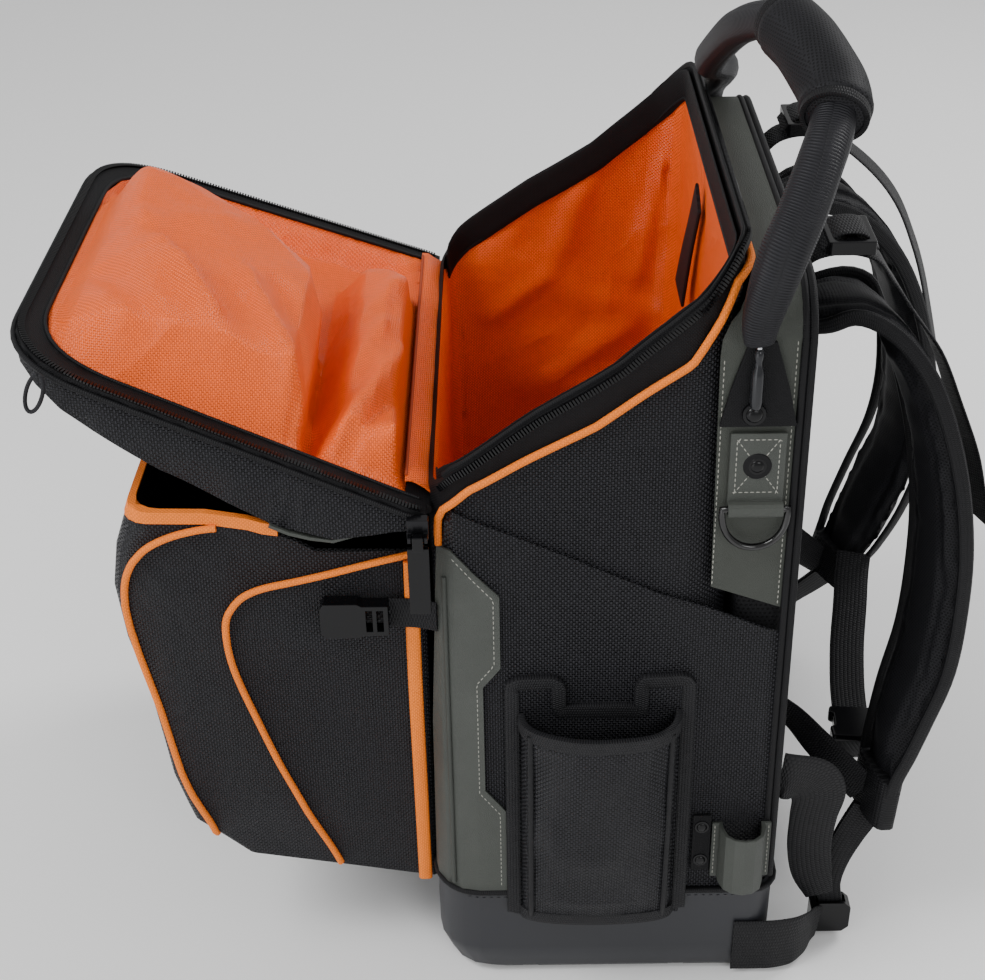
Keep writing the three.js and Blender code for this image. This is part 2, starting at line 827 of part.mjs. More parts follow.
// Lid outline at its rim, drawn in by an inset.
function lidOutline(inset) {
  const hinge = LID_HINGE_WIDTH / 2 - inset;
  const tip = LID_TIP_WIDTH / 2 - inset;
  const end = -LID_LENGTH + inset;
  const start = -Math.max(0, inset);
  const shape = new THREE.Shape();
  shape.moveTo(hinge, start);
  shape.lineTo(hinge, start - 10);
  shape.lineTo(tip, end * 0.76);
  shape.quadraticCurveTo(tip - 3, end, tip - LID_LENGTH * 0.22, end);
  shape.lineTo(-tip + LID_LENGTH * 0.22, end);
  shape.quadraticCurveTo(-tip + 3, end, -tip, end * 0.76);
  shape.lineTo(-hinge, start - 10);
  shape.lineTo(-hinge, start);
  return shape.getPoints(5).map((p) => [p.x, p.y]);
}
// Half the width of an outline at a place along it.
function halfOn(outline, y) {
  const line = outline.filter(([x]) => x > 0);
  for (let i = 1; i < line.length; i++) {
    const [x0, y0] = line[i - 1];
    const [x1, y1] = line[i];
    if (y <= y0 && y >= y1 && y0 > y1) return x0 + ((y - y0) / (y1 - y0)) * (x1 - x0);
  }
  return line[0][0];
}

// Lid depth below its rim. Columns: share of the length, share of the greatest depth.
const LID_DEPTH = 38;
const LID_BELLY = [
  [-0.02, 0.16],
  [0.054, 0.37],
  [0.17, 0.87],
  [0.305, 1],
  [0.595, 0.82],
  [0.833, 0.47],
  [0.978, 0.18],
  [1.03, 0.16],
];
function lidProfile(raise) {
  const belly = LID_BELLY.map(([along, deep]) => [
    -along * LID_LENGTH,
    -deep * LID_DEPTH + raise,
  ]);
  const first = belly[0];
  const last = belly[belly.length - 1];
  return [[first[0], LID_DEPTH], ...belly, [last[0], LID_DEPTH]];
}
function lidBlock(inset, raise, top) {
  return prismZ(lidOutline(inset), -LID_DEPTH * 2, top).intersect(
    prismX(lidProfile(raise), -PACK_WIDTH, PACK_WIDTH)
  );
}
const lidShell = () =>
  placed(lidBlock(0, 0, 0).subtract(lidBlock(LID_WALL, LID_WALL, 5)), lidFrame);
function lidBand() {
  const ring = prismZ(lidOutline(-1), GAP, GAP + LID_BAND_HEIGHT).subtract(
    prismZ(lidOutline(LID_BAND_WIDTH), -5, LID_BAND_HEIGHT + 10)
  );
  return placed(ring, lidFrame);
}

// The lid's puffed inner pocket: a large fold by the tip, a small one by the hinge, low beyond them.
const VALLEY = 0.285;
const FLOOR_DROP = 11;
// Far edge of the large fold. Columns: share of the length, share of the hinge width.
const FOLD_EDGE = [
  [0.2, 0.5],
  [0.3, 0.02],
  [0.42, -0.13],
  [0.76, -0.29],
  [1.1, -0.29],
];
const easeStep = (value, width) => THREE.MathUtils.smoothstep(value, 0, width);
function foldEdgeAt(v) {
  const at = Math.max(1, FOLD_EDGE.findIndex(([share]) => share >= v));
  const [v0, u0] = FOLD_EDGE[at - 1];
  const [v1, u1] = FOLD_EDGE[at];
  return u0 + ((v - v0) / (v1 - v0)) * (u1 - u0);
}
function puffHeight(x, y) {
  const u = x / LID_HINGE_WIDTH;
  const v = -y / LID_LENGTH;
  const large =
    v < VALLEY ? 0 : easeStep(u - foldEdgeAt(v), 0.13) * easeStep(v - VALLEY, 0.12);
  const small = easeStep(VALLEY - v, 0.1) * easeStep(u + 0.3, 0.15) * 0.55;
  const puffed = Math.max(large, small);
  return -FLOOR_DROP + (FLOOR_DROP + LID_PUFF) * puffed;
}
function lidPocket() {
  const from = -(LID_BAND_WIDTH + GAP);
  const to = -LID_LENGTH + LID_BAND_WIDTH + GAP;
  const rest = GAP + LID_BAND_HEIGHT * 0.8;
  const thick = 2;
  const across = 16;
  const along = [0, 0.03, 0.08, 0.14, 0.2, 0.25, 0.29, 0.33, 0.38, 0.45]
    .concat([0.53, 0.62, 0.71, 0.8, 0.87, 0.93, 0.97, 1]);
  const edge = lidOutline(LID_BAND_WIDTH + GAP);
  const rings = along.map((share) => {
    const y = from + share * (to - from);
    const half = halfOn(edge, Math.max(y, to + 0.01));
    const endEase = THREE.MathUtils.smoothstep(Math.min(share, 1 - share), 0, 0.09);
    const top = Array.from({ length: across + 1 }, (_, i) => {
      const x = half * (1 - (2 * i) / across);
      const sideEase = THREE.MathUtils.smoothstep(half - Math.abs(x), 0, 22);
      return new THREE.Vector3(x, y, rest + puffHeight(x, y) * endEase * sideEase);
    });
    const bottom = top.map((p) => new THREE.Vector3(p.x, p.y, p.z - thick)).reverse();
    return [...top, ...bottom];
  });
  return placed(loft(rings), lidFrame);
}

// Grab loop under the lid's near edge, following the belly.
function lidLoop() {
  const rows = [0.13, 0.17, 0.22, 0.27, 0.32].map((along) => {
    const at = LID_BELLY.findIndex(([share]) => share > along);
    const [s0, d0] = LID_BELLY[at - 1];
    const [s1, d1] = LID_BELLY[at];
    const deep = d0 + ((along - s0) / (s1 - s0)) * (d1 - d0);
    const bowed = 1.6 + 2.5 * Math.sin(((along - 0.13) / 0.19) * Math.PI);
    return {
      at: [
        LID_HINGE_WIDTH / 2 - 8,
        -along * LID_LENGTH,
        -deep * LID_DEPTH - bowed,
      ],
      width: 9,
      thick: 2.2,
      across: [1, 0, 0],
    };
  });
  return placed(strap(rows), lidFrame);
}
// Cord loop on the zip slider at the lid's tip.
function lidPull() {
  const y = -LID_LENGTH * 0.885;
  const x = halfOn(lidOutline(0), y - 6) + GAP;
  const drop = 24;
  const half = 5;
  const rows = Array.from({ length: 17 }, (_, i) => {
    const angle = (i / 16) * Math.PI * 2 * 0.97 + 0.09;
    return {
      at: [
        x + 1.9 + half * (0.5 + 0.5 * Math.sin(angle)) * 0.5,
        y - 5 + half * Math.sin(angle) * 0.8,
        -drop / 2 + 2 + (drop / 2) * Math.cos(angle),
      ],
      width: 2.4,
      thick: 2.4,
      across: [1, -1, 0],
    };
  });
  return placed(strap(rows, { sides: 6 }), lidFrame);
}

// Front pouch. Columns: rear height share, front height share, depth share, corner radius.
const POUCH_ROWS = [
  [0, 0.085, 0.69, 8],
  [0.05, 0.19, 0.85, 8],
  [0.17, 0.31, 0.9, 9],
  [0.45, 0.52, 0.935, 10],
  [0.63, 0.68, 0.985, 11],
  [0.77, 0.81, 1, 12],
  [0.86, 0.9, 0.975, 13],
  [0.96, 1.03, 0.9, 15],
];
const POUCH_REAR = FRONT - TUB_WALL - GAP;
const pouchHeight = (share) => POUCH_FLOOR + share * POUCH_HEIGHT;
function pouchRing([rear, front, depth, radius], inset, raise = 0) {
  const rearY = POUCH_REAR - inset;
  const frontY = POUCH_REAR - depth * POUCH_DEPTH + inset;
  const low = pouchHeight(rear);
  const slope = (pouchHeight(front) - low) / (frontY - rearY);
  return planRing({
    half: POUCH_WIDTH / 2 - inset,
    front: frontY,
    back: rearY,
    frontRadius: radius,
    backRadius: Math.max(1, 4 - inset),
    heightAt: (y) => low + slope * (y - rearY) + raise,
  });
}
// Mouth of the pouch in side view. Columns: depth share, height share.
const POUCH_MOUTH = [
  [0, 0.9],
  [0.34, 0.905],
  [0.44, 0.94],
  [0.54, 0.982],
  [0.67, 0.997],
  [0.86, 1],
  [1.1, 1.01],
];
const pouchPoint = ([depth, height]) => [
  POUCH_REAR - depth * POUCH_DEPTH,
  pouchHeight(height),
];
function abovePouchMouth(lift) {
  const line = POUCH_MOUTH.map(pouchPoint).map(([y, z]) => [y, z + lift]);
  const top = pouchHeight(2);
  const first = line[0];
  const last = line[line.length - 1];
  return prismX(
    [[first[0] + 20, first[1]], [first[0] + 20, top], [last[0], top], ...line.reverse()],
    -PACK_WIDTH,
    PACK_WIDTH
  );
}
function pouchBlock(inset, raise) {
  const rows = POUCH_ROWS.map((row, i) => pouchRing(row, inset, i === 0 ? raise : 0));
  return loft(rows);
}
function pouchShell() {
  const made = pouchBlock(0, 0).subtract(pouchBlock(POUCH_WALL, POUCH_WALL));
  return made.subtract(abovePouchMouth(-POUCH_EDGE));
}
function pouchMouthBinding() {
  const wall = pouchBlock(-0.6, 0).subtract(pouchBlock(POUCH_WALL + 0.6, 0));
  const rim = wall
    .intersect(abovePouchMouth(-POUCH_EDGE + GAP))
    .subtract(abovePouchMouth(0));
  return rim.intersect(
    box(-PACK_WIDTH, PACK_WIDTH, -PACK_WIDTH * 2, POUCH_REAR - POUCH_DEPTH * 0.45, 0, TALL)
  );
}
const POUCH_BINDING = { width: 13, thick: 3 };
const pouchSide = () => POUCH_WIDTH / 2 + GAP + POUCH_BINDING.thick;
function pouchBinding() {
  const x = POUCH_WIDTH / 2 + GAP;
  const rear = POUCH_REAR - 1;
  return prismX(
    [
      [rear - POUCH_BINDING.width, pouchHeight(0.015)],
      [rear, pouchHeight(0)],
      [rear, pouchHeight(0.87)],
      [rear - POUCH_BINDING.width, pouchHeight(0.87)],
    ],
    x,
    pouchSide()
  );
}
// Piping on the pouch's side. Columns: depth share, height share.
const POUCH_OUTLINE = [
  [0.09, 0.018],
  [0.36, 0.045],
  [0.61, 0.1],
  [0.75, 0.195],
  [0.815, 0.314],
  [0.86, 0.523],
  [0.912, 0.68],
  [0.925, 0.8],
  [0.89, 0.878],
  [0.81, 0.93],
  [0.667, 0.955],
  [0.52, 0.945],
];
const POUCH_PANEL_LINE = [
  [0.1, 0.885],
  [0.36, 0.842],
  [0.53, 0.815],
  [0.61, 0.78],
  [0.645, 0.72],
  [0.625, 0.59],
  [0.54, 0.4],
  [0.46, 0.255],
  [0.37, 0.1],
];
const onPouchSide = (line) =>
  line
    .map(pouchPoint)
    .map(([y, z]) => [POUCH_WIDTH / 2 + PIPING_RADIUS + GAP, y, z]);
const pouchPiping = () => tube(onPouchSide(POUCH_OUTLINE), PIPING_RADIUS, 30, 6);
const pouchPanelPiping = () => tube(onPouchSide(POUCH_PANEL_LINE), PIPING_RADIUS, 24, 6);

// Buckle half on its short strap, lying against the pouch.
const BUCKLE_HEIGHT = 0.556;
const BUCKLE_LENGTH = 39;
const BUCKLE_WIDTH = 24;
const BUCKLE_THICKNESS = 9;
const BUCKLE_START = 21;
const buckleFace = () => pouchSide() + GAP;
function buckleSocket() {
  const x = buckleFace();
  const mid = atHeight(BUCKLE_HEIGHT);
  const rear = POUCH_REAR - BUCKLE_START;
  const front = rear - BUCKLE_LENGTH;
  const half = BUCKLE_WIDTH / 2;
  const shareOf = (share) => rear - share * BUCKLE_LENGTH;
  const outline = [
    [shareOf(1), mid - half * 0.7],
    [shareOf(0.94), mid - half],
    [shareOf(0.45), mid - half],
    [shareOf(0.38), mid - half * 0.86],
    [rear, mid - half * 0.86],
    [rear, mid + half * 0.86],
    [shareOf(0.38), mid + half * 0.86],
    [shareOf(0.45), mid + half],
    [shareOf(0.94), mid + half],
    [shareOf(1), mid + half * 0.7],
  ].reverse();
  const socket = box(
    x + 2,
    x + BUCKLE_THICKNESS - 2,
    front - 5,
    shareOf(0.45),
    mid - half * 0.72,
    mid + half * 0.72
  );
  const slots = [0.12, 0.28].map((share) =>
    box(
      x - 5,
      x + BUCKLE_THICKNESS + 5,
      shareOf(share) - 1.9,
      shareOf(share) + 1.9,
      mid - half * 0.62,
      mid + half * 0.62
    )
  );
  return prismX(outline, x, x + BUCKLE_THICKNESS)
    .subtract(socket)
    .subtract(slots[0])
    .subtract(slots[1]);
}
function buckleStrap() {
  const mid = atHeight(BUCKLE_HEIGHT);
  const flat = buckleFace() + WEBBING_THICKNESS / 2;
  const end = POUCH_REAR - BUCKLE_START + GAP;
  const layers = POCKET_FACE + GAP + PATCH_THICKNESS + GAP + WEBBING_THICKNESS / 2;
  const out = (FRONT_RADIUS + layers) * Math.SQRT1_2;
  const rows = [
    [halfWidthAt(mid) - FRONT_RADIUS + out, FRONT + FRONT_RADIUS - out],
    [flat + 1, POUCH_REAR - 4],
    [flat, POUCH_REAR - 14],
    [flat, end],
  ];
  return strap(
    rows.map(([x, y]) => ({
      at: [x, y, mid],
      width: NARROW_STRAP * 0.82,
      thick: WEBBING_THICKNESS,
      across: [0, 0, 1],
    }))
  );
}

// Main zip slider at the mouth's front corner, and its hanging puller.
const SLIDER_X = LID_HINGE_WIDTH / 2 + 1.6;
const PULL_LENGTH = 50;
const PULL_WIDTH = 12;
const SLIDER_REACH = 9.5;
const EYE_HALF = 2.3;
// The pull hangs clear of the pouch's side and its binding.
const PIN = {
  radius: 1.2,
  x: Math.max(SLIDER_X + SLIDER_REACH, pouchSide() + EYE_HALF + GAP),
  y: FRONT - 5,
  z: HINGE_HEIGHT - 7,
};
function zipSlider() {
  const block = box(SLIDER_X, SLIDER_X + 6, PIN.y - 6, PIN.y + 6, PIN.z - 3, PIN.z + 10);
  const cheeks = [-1, 1].map((way) =>
    box(
      SLIDER_X + 5,
      PIN.x + 1.6,
      PIN.y + way * 4.6 - 1,
      PIN.y + way * 4.6 + 1,
      PIN.z - 1.8,
      PIN.z + 1.8
    )
  );
  const pin = rod(
    new THREE.Vector3(PIN.x, PIN.y - 5, PIN.z),
    new THREE.Vector3(PIN.x, PIN.y + 5, PIN.z),
    PIN.radius,
    8
  );
  return block.add(cheeks[0]).add(cheeks[1]).add(pin);
}
function zipPull() {
  const thick = 3.2;
  const eye = box(
    PIN.x - EYE_HALF,
    PIN.x + EYE_HALF,
    PIN.y - EYE_HALF - 2 * GAP,
    PIN.y + EYE_HALF + 2 * GAP,
    PIN.z - 7,
    PIN.z + EYE_HALF
  );
  const plate = box(
    PIN.x - thick / 2,
    PIN.x + thick / 2,
    PIN.y - PULL_WIDTH / 2,
    PIN.y + PULL_WIDTH / 2,
    PIN.z - PULL_LENGTH,
    PIN.z - 5.5
  );
  const bore = rod(
    new THREE.Vector3(PIN.x, PIN.y - 9, PIN.z),
    new THREE.Vector3(PIN.x, PIN.y + 9, PIN.z),
    PIN.radius + 0.5,
    10
  );
  return eye.add(plate).subtract(bore);
}

// Shoulder pads. Rows: x, y, z of the middle line, chosen by hand, the width's turn in degrees,
// and the share of the full width.
const PAD_RIGHT = [
  [66, 111, 424, 0, 0.8],
  [74, 132, 431, 4, 1],
  [81, 147, 429, 7, 1],
  [89, 163, 414, 10, 1],
  [97, 177, 388, 13, 1],
  [104, 190, 345, 15, 1],
  [111, 197, 300, 16, 1],
  [117, 198, 258, 16, 1],
  [123, 195, 218, 15, 1],
  [129, 186, 182, 13, 0.95],
  [134, 180, 158, 12, 0.85],
  [138, 175, 138, 10, 0.75],
  [141, 173, 118, 10, 0.7],
];
const PAD_LEFT = [
  [-66, 111, 424, 0, 0.8],
  [-74, 138, 434, 2, 1],
  [-80, 164, 424, 5, 1],
  [-87, 190, 394, 10, 1],
  [-93, 207, 356, 15, 1],
  [-99, 218, 314, 20, 1],
  [-104, 225, 268, 25, 1],
  [-109, 224, 226, 30, 1],
  [-114, 214, 182, 35, 1],
  [-119, 203, 144, 38, 0.9],
  [-122, 197, 124, 38, 0.78],
  [-124, 192, 106, 38, 0.7],
];
// What the harness leaves to the pack itself.
const insideBack = () =>
  box(-PACK_WIDTH, PACK_WIDTH, -PACK_DEPTH, BACK + GAP, 0, TALL);
function padRows(table, grow) {
  return table.map(([x, y, z, turn, share]) => {
    const angle = THREE.MathUtils.degToRad(turn);
    return {
      at: [x, y, z],
      width: PAD_WIDTH * share + grow,
      thick: PAD_THICKNESS * Math.sqrt(share) + grow,
      across: [Math.cos(angle), Math.sin(angle), 0],
    };
  });
}
function shoulderPad(table, grow = 0) {
  const rows = padRows(table, grow);
  const last = rows[rows.length - 1];
  last.at[2] -= grow;
  const made = strap(smoothRows(rows, 20), { sides: 10, power: 0.75 });
  return made.subtract(insideBack());
}

// Load-lifter strap, from the pack's top edge over its buckle, with a free tail behind the pad.
const LOAD_RIGHT = [
  [76, 104.6, 456, 0],
  [77, 115, 464, 0],
  [77, 131, 466, 0],
  [79, 146, 462, 0],
  [84, 156, 450, 2],
  [90, 168, 433, 5],
  [95, 183, 412, 8],
  [99, 196, 382, 11],
  [102, 209, 349, 14],
  [104, 217, 318, 15],
  [105, 222, 300, 15],
];
const LOAD_LEFT = [
  [-76, 104.6, 462, 0],
  [-77, 115, 471, 0],
  [-77, 131, 474, 0],
  [-79, 150, 468, 0],
  [-84, 178, 445, -6],
  [-88, 198, 420, -10],
  [-92, 213, 389, -12],
  [-94, 223, 362, -14],
  [-96, 232, 330, -16],
  [-97, 240, 300, -16],
];
function loadStrap(table) {
  const rows = table.map(([x, y, z, turn]) => {
    const angle = THREE.MathUtils.degToRad(turn);
    return {
      at: [x, y, z],
      width: NARROW_STRAP,
      thick: WEBBING_THICKNESS,
      across: [Math.cos(angle), Math.sin(angle), 0],
    };
  });
  return strap(smoothRows(rows, 16));
}
// Ladder buckle that sits on the load-lifter strap.
function loadBuckle(x, y, z) {
  const { wide, deep, tall, floor } = LOAD_BUCKLE;
  const half = wide / 2;
  const room = NARROW_STRAP / 2 + 0.5;
  const frame = box(x - half, x + half, y - deep / 2, y + deep / 2, z, z + tall);
  const slots = [-1, 1].map((way) => {
    const middle = y + way * deep * 0.23;
    return box(x - room, x + room, middle - 2.6, middle + 2.6, z + floor, z + tall + 4);
  });
  return frame.subtract(slots[0]).subtract(slots[1]);
}

// Lower webbing: one strap from the base tub and one from the pack's back edge, to the adjuster.
// Rows: x, y and z, chosen by hand, the width, and the way the width runs.
const ADJUSTER = { x: 150, y: 151, z: 16.5 };
const BASE_FACE = PACK_WIDTH / 2 + TUB_WALL + GAP + WEBBING_THICKNESS / 2;
const BASE_STRAP = [
  [BASE_FACE, 82, 26, BASE_STRAP_WIDTH, [0, 0, 1]],
  [BASE_FACE, 98, 26, BASE_STRAP_WIDTH, [0, 0, 1]],
  [BASE_FACE - 0.6, 110, 26, BASE_STRAP_WIDTH, [0, 0, 1]],
  [182, 122, 25, 42, [0, 0, 1]],
  [174, 131, 22, 36, [0, 0, 1]],
  [165, 137, 20, 30, [0, 0, 1]],
  [159.5, 142, 18, 24, [0, 0, 1]],
];
const SIDE_STRAP = [
  [170, 105.2, 158, 36, [0, 0, 1]],
  [171, 112, 157, 36, [0, 0.1, 1]],
  [168, 124, 151, 36, [0, 0.5, 0.87]],
  [165, 131, 137, 34, [0, 0.9, 0.4]],
  [163, 130, 116, 30, [0, 1, 0]],
  [161, 130, 90, 28, [0, 1, -0.1]],
  [159, 134, 64, 26, [0, 1, -0.2]],
  [158, 141, 42, 18, [0, 1, -0.3]],
];
const handStrap = (table, thick = WEBBING_THICKNESS) =>
  strap(table.map(([x, y, z, width, across]) => ({ at: [x, y, z], width, thick, across })));
function adjuster() {
  const { x, y, z } = ADJUSTER;
  const frame = box(x - 5.5, x + 5.5, y - 13, y + 13, z - 13, z + 13);
  const slot = box(x - 3.2, x + 3.2, y - 9.5, y + 9.5, z - 10, z + 30);
  const round = rod(
    new THREE.Vector3(x - 8, y, z),
    new THREE.Vector3(x + 8, y, z),
    15.5,
    20
  );
  return frame.subtract(slot).intersect(round);
}

// Keeper round the pad's end, with the webbing that runs from it to the adjuster and to the pack.
const WEB_RIGHT = [
  [143, 169, 103, 22, [0, 1, 0]],
  [147, 159, 86, 20, [0, 1, 0]],
  [150, 151, 66, 18, [0, 1, 0]],
  [151, 148, 45, 16, [0, 1, 0]],
  [150, 151, 26, 16, [0, 1, 0]],
  [150, 151, 12, 16, [0, 1, 0]],
];
const WEB_LEFT = [
  [-126, 188, 92, 22, [0, 1, 0]],
  [-134, 176, 74, 20, [0, 1, 0]],
  [-143, 162, 54, 18, [0, 1, 0]],
  [-149, 153, 36, 16, [0, 1, 0]],
  [-150, 151, 26, 16, [0, 1, 0]],
  [-150, 151, 12, 16, [0, 1, 0]],
];
const TIE_RIGHT = [
  [112, 104.4, 171, 25, [0.5, 0, 1]],
  [118, 121, 159, 25, [0.4, 0.2, 1]],
  [127, 135, 146, 25, [0.3, 0.4, 1]],
  [134, 147, 135, 24, [0.2, 0.5, 1]],
  [141, 165, 118, 22, [0, 0.6, 1]],
];
const TIE_LEFT = [
  [-112, 104.4, 171, 25, [-0.5, 0, 1]],
  [-115, 122, 158, 25, [-0.4, 0.2, 1]],
  [-119, 144, 140, 25, [-0.3, 0.4, 1]],
  [-122, 166, 120, 24, [-0.2, 0.5, 1]],
  [-124, 184, 104, 22, [0, 0.6, 1]],
];
function keeper(table, grow = 0) {
  const [before, last] = padRows(table, KEEPER_WALL * 2 + 0.6 + grow).slice(-2);
  const reach = (share) => last.at.map((value, i) => value + (value - before.at[i]) * share);
  const start = { ...before, at: reach(-1 - grow * 0.03) };
  const end = { ...last, at: reach(0.8) };
  return strap([start, last, end], { sides: 10, power: 0.75 });
}
function padWeb(table, web, tie) {
  return keeper(table)
    .subtract(shoulderPad(table, 1.2))
    .add(handStrap(web, 4))
    .add(handStrap(tie))
    .subtract(shoulderPad(table, 0.8))
    .subtract(insideBack());
}

// Chest strap between the pads, sagging, with its fastened buckle.
const CHEST = [
  [-100, 202, 130],
  [-88, 199, 119],
  [-70, 196, 104],
  [-44, 191, 86],
  [-14, 187, 74],
  [10, 185, 69],
];
const CHEST_NEAR = [
  [48, 181, 73.5],
  [72, 180, 86],
  [94, 178, 103],
  [110, 177, 118],
  [124, 177, 132],
];
function chestStrap(table, pad) {
  const made = strap(
    table.map((at) => ({
      at,
      width: NARROW_STRAP,
      thick: WEBBING_THICKNESS,
      across: [0, 1, 0],
    }))
  );
  return made.subtract(shoulderPad(pad, 2 * GAP)).subtract(keeper(pad, 2 * GAP));
}
function chestBuckle() {
  const from = CHEST[CHEST.length - 1];
  const to = CHEST_NEAR[0];
  const start = new THREE.Vector3(...from);
  const end = new THREE.Vector3(...to);
  const step = end.clone().sub(start);
  const share = (t) => start.clone().addScaledVector(step, t).toArray();
  const rows = [
    [0.02, 30],
    [0.2, 32],
    [0.26, 26],
    [0.6, 26],
    [0.66, 32],
    [0.96, 30],
  ];
  return strap(
    rows.map(([t, width]) => ({
      at: share(t),
      width,
      thick: 9,
      across: [0, 1, 0],
    }))
  );
}

add("base_tub", baseTub(), "moulded");
add("pack_shell", packShell(), "ballistic");
add("pack_lining", packLining(), "lining");
add("mouth_band", mouthBand(), "ballistic");
add("mouth_piping", tube(PIPING, PIPING_RADIUS, PIPING_STEPS, 8), "orangeTrim");
add("back_pad", backPad(), "padding");
add("yoke_panel", yoke(), "greyLeather");
addPair("slip_pocket", slipPocket(), "ballistic");
addPair("corner_patch", cornerPatch(), "greyLeather");
add("tool_holster", holster(), "ballistic");
add("tool_loop", toolLoop(), "greyLeather");
add("tool_loop_tab", toolLoopTab(), "webbing");
addPair("ring_tab", ringTab(), "greyLeather");
addPair("d_ring", dRing(), "blackMetal");
addPair("handle_anchor", handleAnchor(), "webbing");
add("handle_link", handleLink(), "steel");
add("carry_handle", carryHandle(), "webbing");
add("handle_grip", handleGrip(), "padding");
add("lid_shell", lidShell(), "ballistic");
add("lid_band", lidBand(), "webbing");
add("lid_pocket", lidPocket(), "lining");
add("lid_loop", lidLoop(), "greyWebbing");
add("lid_pull", lidPull(), "webbing");
add("zip_slider", zipSlider(), "blackMetal");
add("zip_pull", zipPull(), "hardPlastic");
add("pouch_shell", pouchShell(), "ballistic");
add("pouch_mouth_binding", pouchMouthBinding(), "orangeTrim");
addPair("pouch_binding", pouchBinding(), "orangeTrim");
addPair("pouch_piping", pouchPiping(), "orangeTrim");
addPair("pouch_panel_piping", pouchPanelPiping(), "orangeTrim");
addPair("buckle_socket", buckleSocket(), "hardPlastic");
addPair("buckle_strap", buckleStrap(), "webbing");
add("shoulder_pad_right", shoulderPad(PAD_RIGHT), "padding");
add("shoulder_pad_left", shoulderPad(PAD_LEFT), "padding");
add("load_strap_right", loadStrap(LOAD_RIGHT), "webbing");
add("load_strap_left", loadStrap(LOAD_LEFT), "webbing");
add("load_buckle_right", loadBuckle(77, 131, 467.6), "hardPlastic");
add("load_buckle_left", loadBuckle(-77, 131, 475.6), "hardPlastic");
addPair("base_strap", handStrap(BASE_STRAP), "webbing");
addPair("side_strap", handStrap(SIDE_STRAP), "webbing");
addPair("strap_adjuster", adjuster(), "hardPlastic");
add("pad_web_right", padWeb(PAD_RIGHT, WEB_RIGHT, TIE_RIGHT), "webbing");
add("pad_web_left", padWeb(PAD_LEFT, WEB_LEFT, TIE_LEFT), "webbing");
add("chest_strap_left", chestStrap(CHEST, PAD_LEFT), "webbing");
add("chest_strap_right", chestStrap(CHEST_NEAR, PAD_RIGHT), "webbing");
add("chest_buckle", chestBuckle(), "hardPlastic");

export default pack;
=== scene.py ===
import math
from collections import namedtuple

import bmesh
import bpy
from mathutils import Matrix, Vector, noise
from mathutils.bvhtree import BVHTree


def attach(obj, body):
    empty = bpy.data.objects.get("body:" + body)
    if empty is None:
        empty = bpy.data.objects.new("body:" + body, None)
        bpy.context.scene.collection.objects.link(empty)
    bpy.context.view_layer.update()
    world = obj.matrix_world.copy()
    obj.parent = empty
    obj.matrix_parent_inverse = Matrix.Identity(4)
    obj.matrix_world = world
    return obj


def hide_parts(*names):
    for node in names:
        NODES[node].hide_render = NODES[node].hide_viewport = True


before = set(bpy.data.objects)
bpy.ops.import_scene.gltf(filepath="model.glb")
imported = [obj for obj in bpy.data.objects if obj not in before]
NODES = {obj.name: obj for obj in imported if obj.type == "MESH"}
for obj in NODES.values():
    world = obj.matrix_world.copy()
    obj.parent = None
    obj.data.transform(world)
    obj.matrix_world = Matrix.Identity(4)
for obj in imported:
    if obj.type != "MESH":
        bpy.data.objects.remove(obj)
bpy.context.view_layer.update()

MM = 0.001

# Sizes of the pack in millimetres, as its solids have them.
PACK_WIDTH = 364
PACK_DEPTH = 206
PACK_HEIGHT = 500
BASE_HEIGHT = 78
SIDE_SLOPE = 0.0728
FRONT = -PACK_DEPTH / 2
BACK = PACK_DEPTH / 2
SHELL_BACK = BACK - 34.95
FRONT_RADIUS = 24
MOUTH_RADIUS = 28
SHELL_WALL = 2.8
LINING_FACE = 4.9
LID_LENGTH = 241
LID_HINGE_WIDTH = 326
LID_TIP_WIDTH = 292
LID_TILT = math.radians(22.4)
LID_ORIGIN = (0, FRONT - 1.82, 346)
LID_BAND_TOP = 3.15
POUCH_REAR = FRONT - 3.35
POUCH_DEPTH = 180
POUCH_HEIGHT = 287
POUCH_FLOOR = 60
POUCH_HALF = 155

SIDES = (("right", 1), ("left", -1))

Row = namedtuple("Row", "at width thick across")


# Limits that the mesh tools work to.
WELD = 0.004 * MM
SPIN_WELD = 0.01 * MM
FLAT_TURN = math.radians(0.4)
BEVEL_TURN = math.radians(35)
LEVEL_SLACK = 1e-6
UPRIGHT = 0.8


# Small sums.
def ease(value, low, high):
    share = min(1.0, max(0.0, (value - low) / (high - low)))
    return share * share * (3 - 2 * share)


def between(value, low, high, soft):
    return ease(value, low - soft, low + soft) * (1 - ease(value, high - soft, high + soft))


def smooth_table(table, steps):
    """Evenly spaced rows on a smooth line through the rows of a table."""
    last = len(table) - 1
    made = []
    for i in range(steps + 1):
        place = i / steps * last
        k = min(int(place), last - 1)
        t = place - k
        four = [table[min(max(k + d, 0), last)] for d in (-1, 0, 1, 2)]
        made.append([
            0.5 * (2 * b + (c - a) * t + (2 * a - 5 * b + 4 * c - d) * t * t
                   + (3 * b - a - 3 * c + d) * t * t * t)
            for a, b, c, d in zip(*four)
        ])
    return made


def height_on(curve, y):
    """Height of a curve of depth and height shares, at a place in Y."""
    line = [(FRONT + d * PACK_DEPTH, h * PACK_HEIGHT) for d, h in curve]
    if y <= line[0][0]:
        return line[0][1]
    for (y0, z0), (y1, z1) in zip(line, line[1:]):
        if y <= y1:
            return z0 + (y - y0) / (y1 - y0) * (z1 - z0)
    return line[-1][1]


def ripple(*place):
    return noise.noise(Vector(place))


def bell(value, width):
    return math.exp(-(value / width) ** 2)


def mirrored(rows, sign):
    """Rows of a table that start with x, on the right side for 1 and on the left for -1."""
    return [(sign * row[0], *row[1:]) for row in rows]


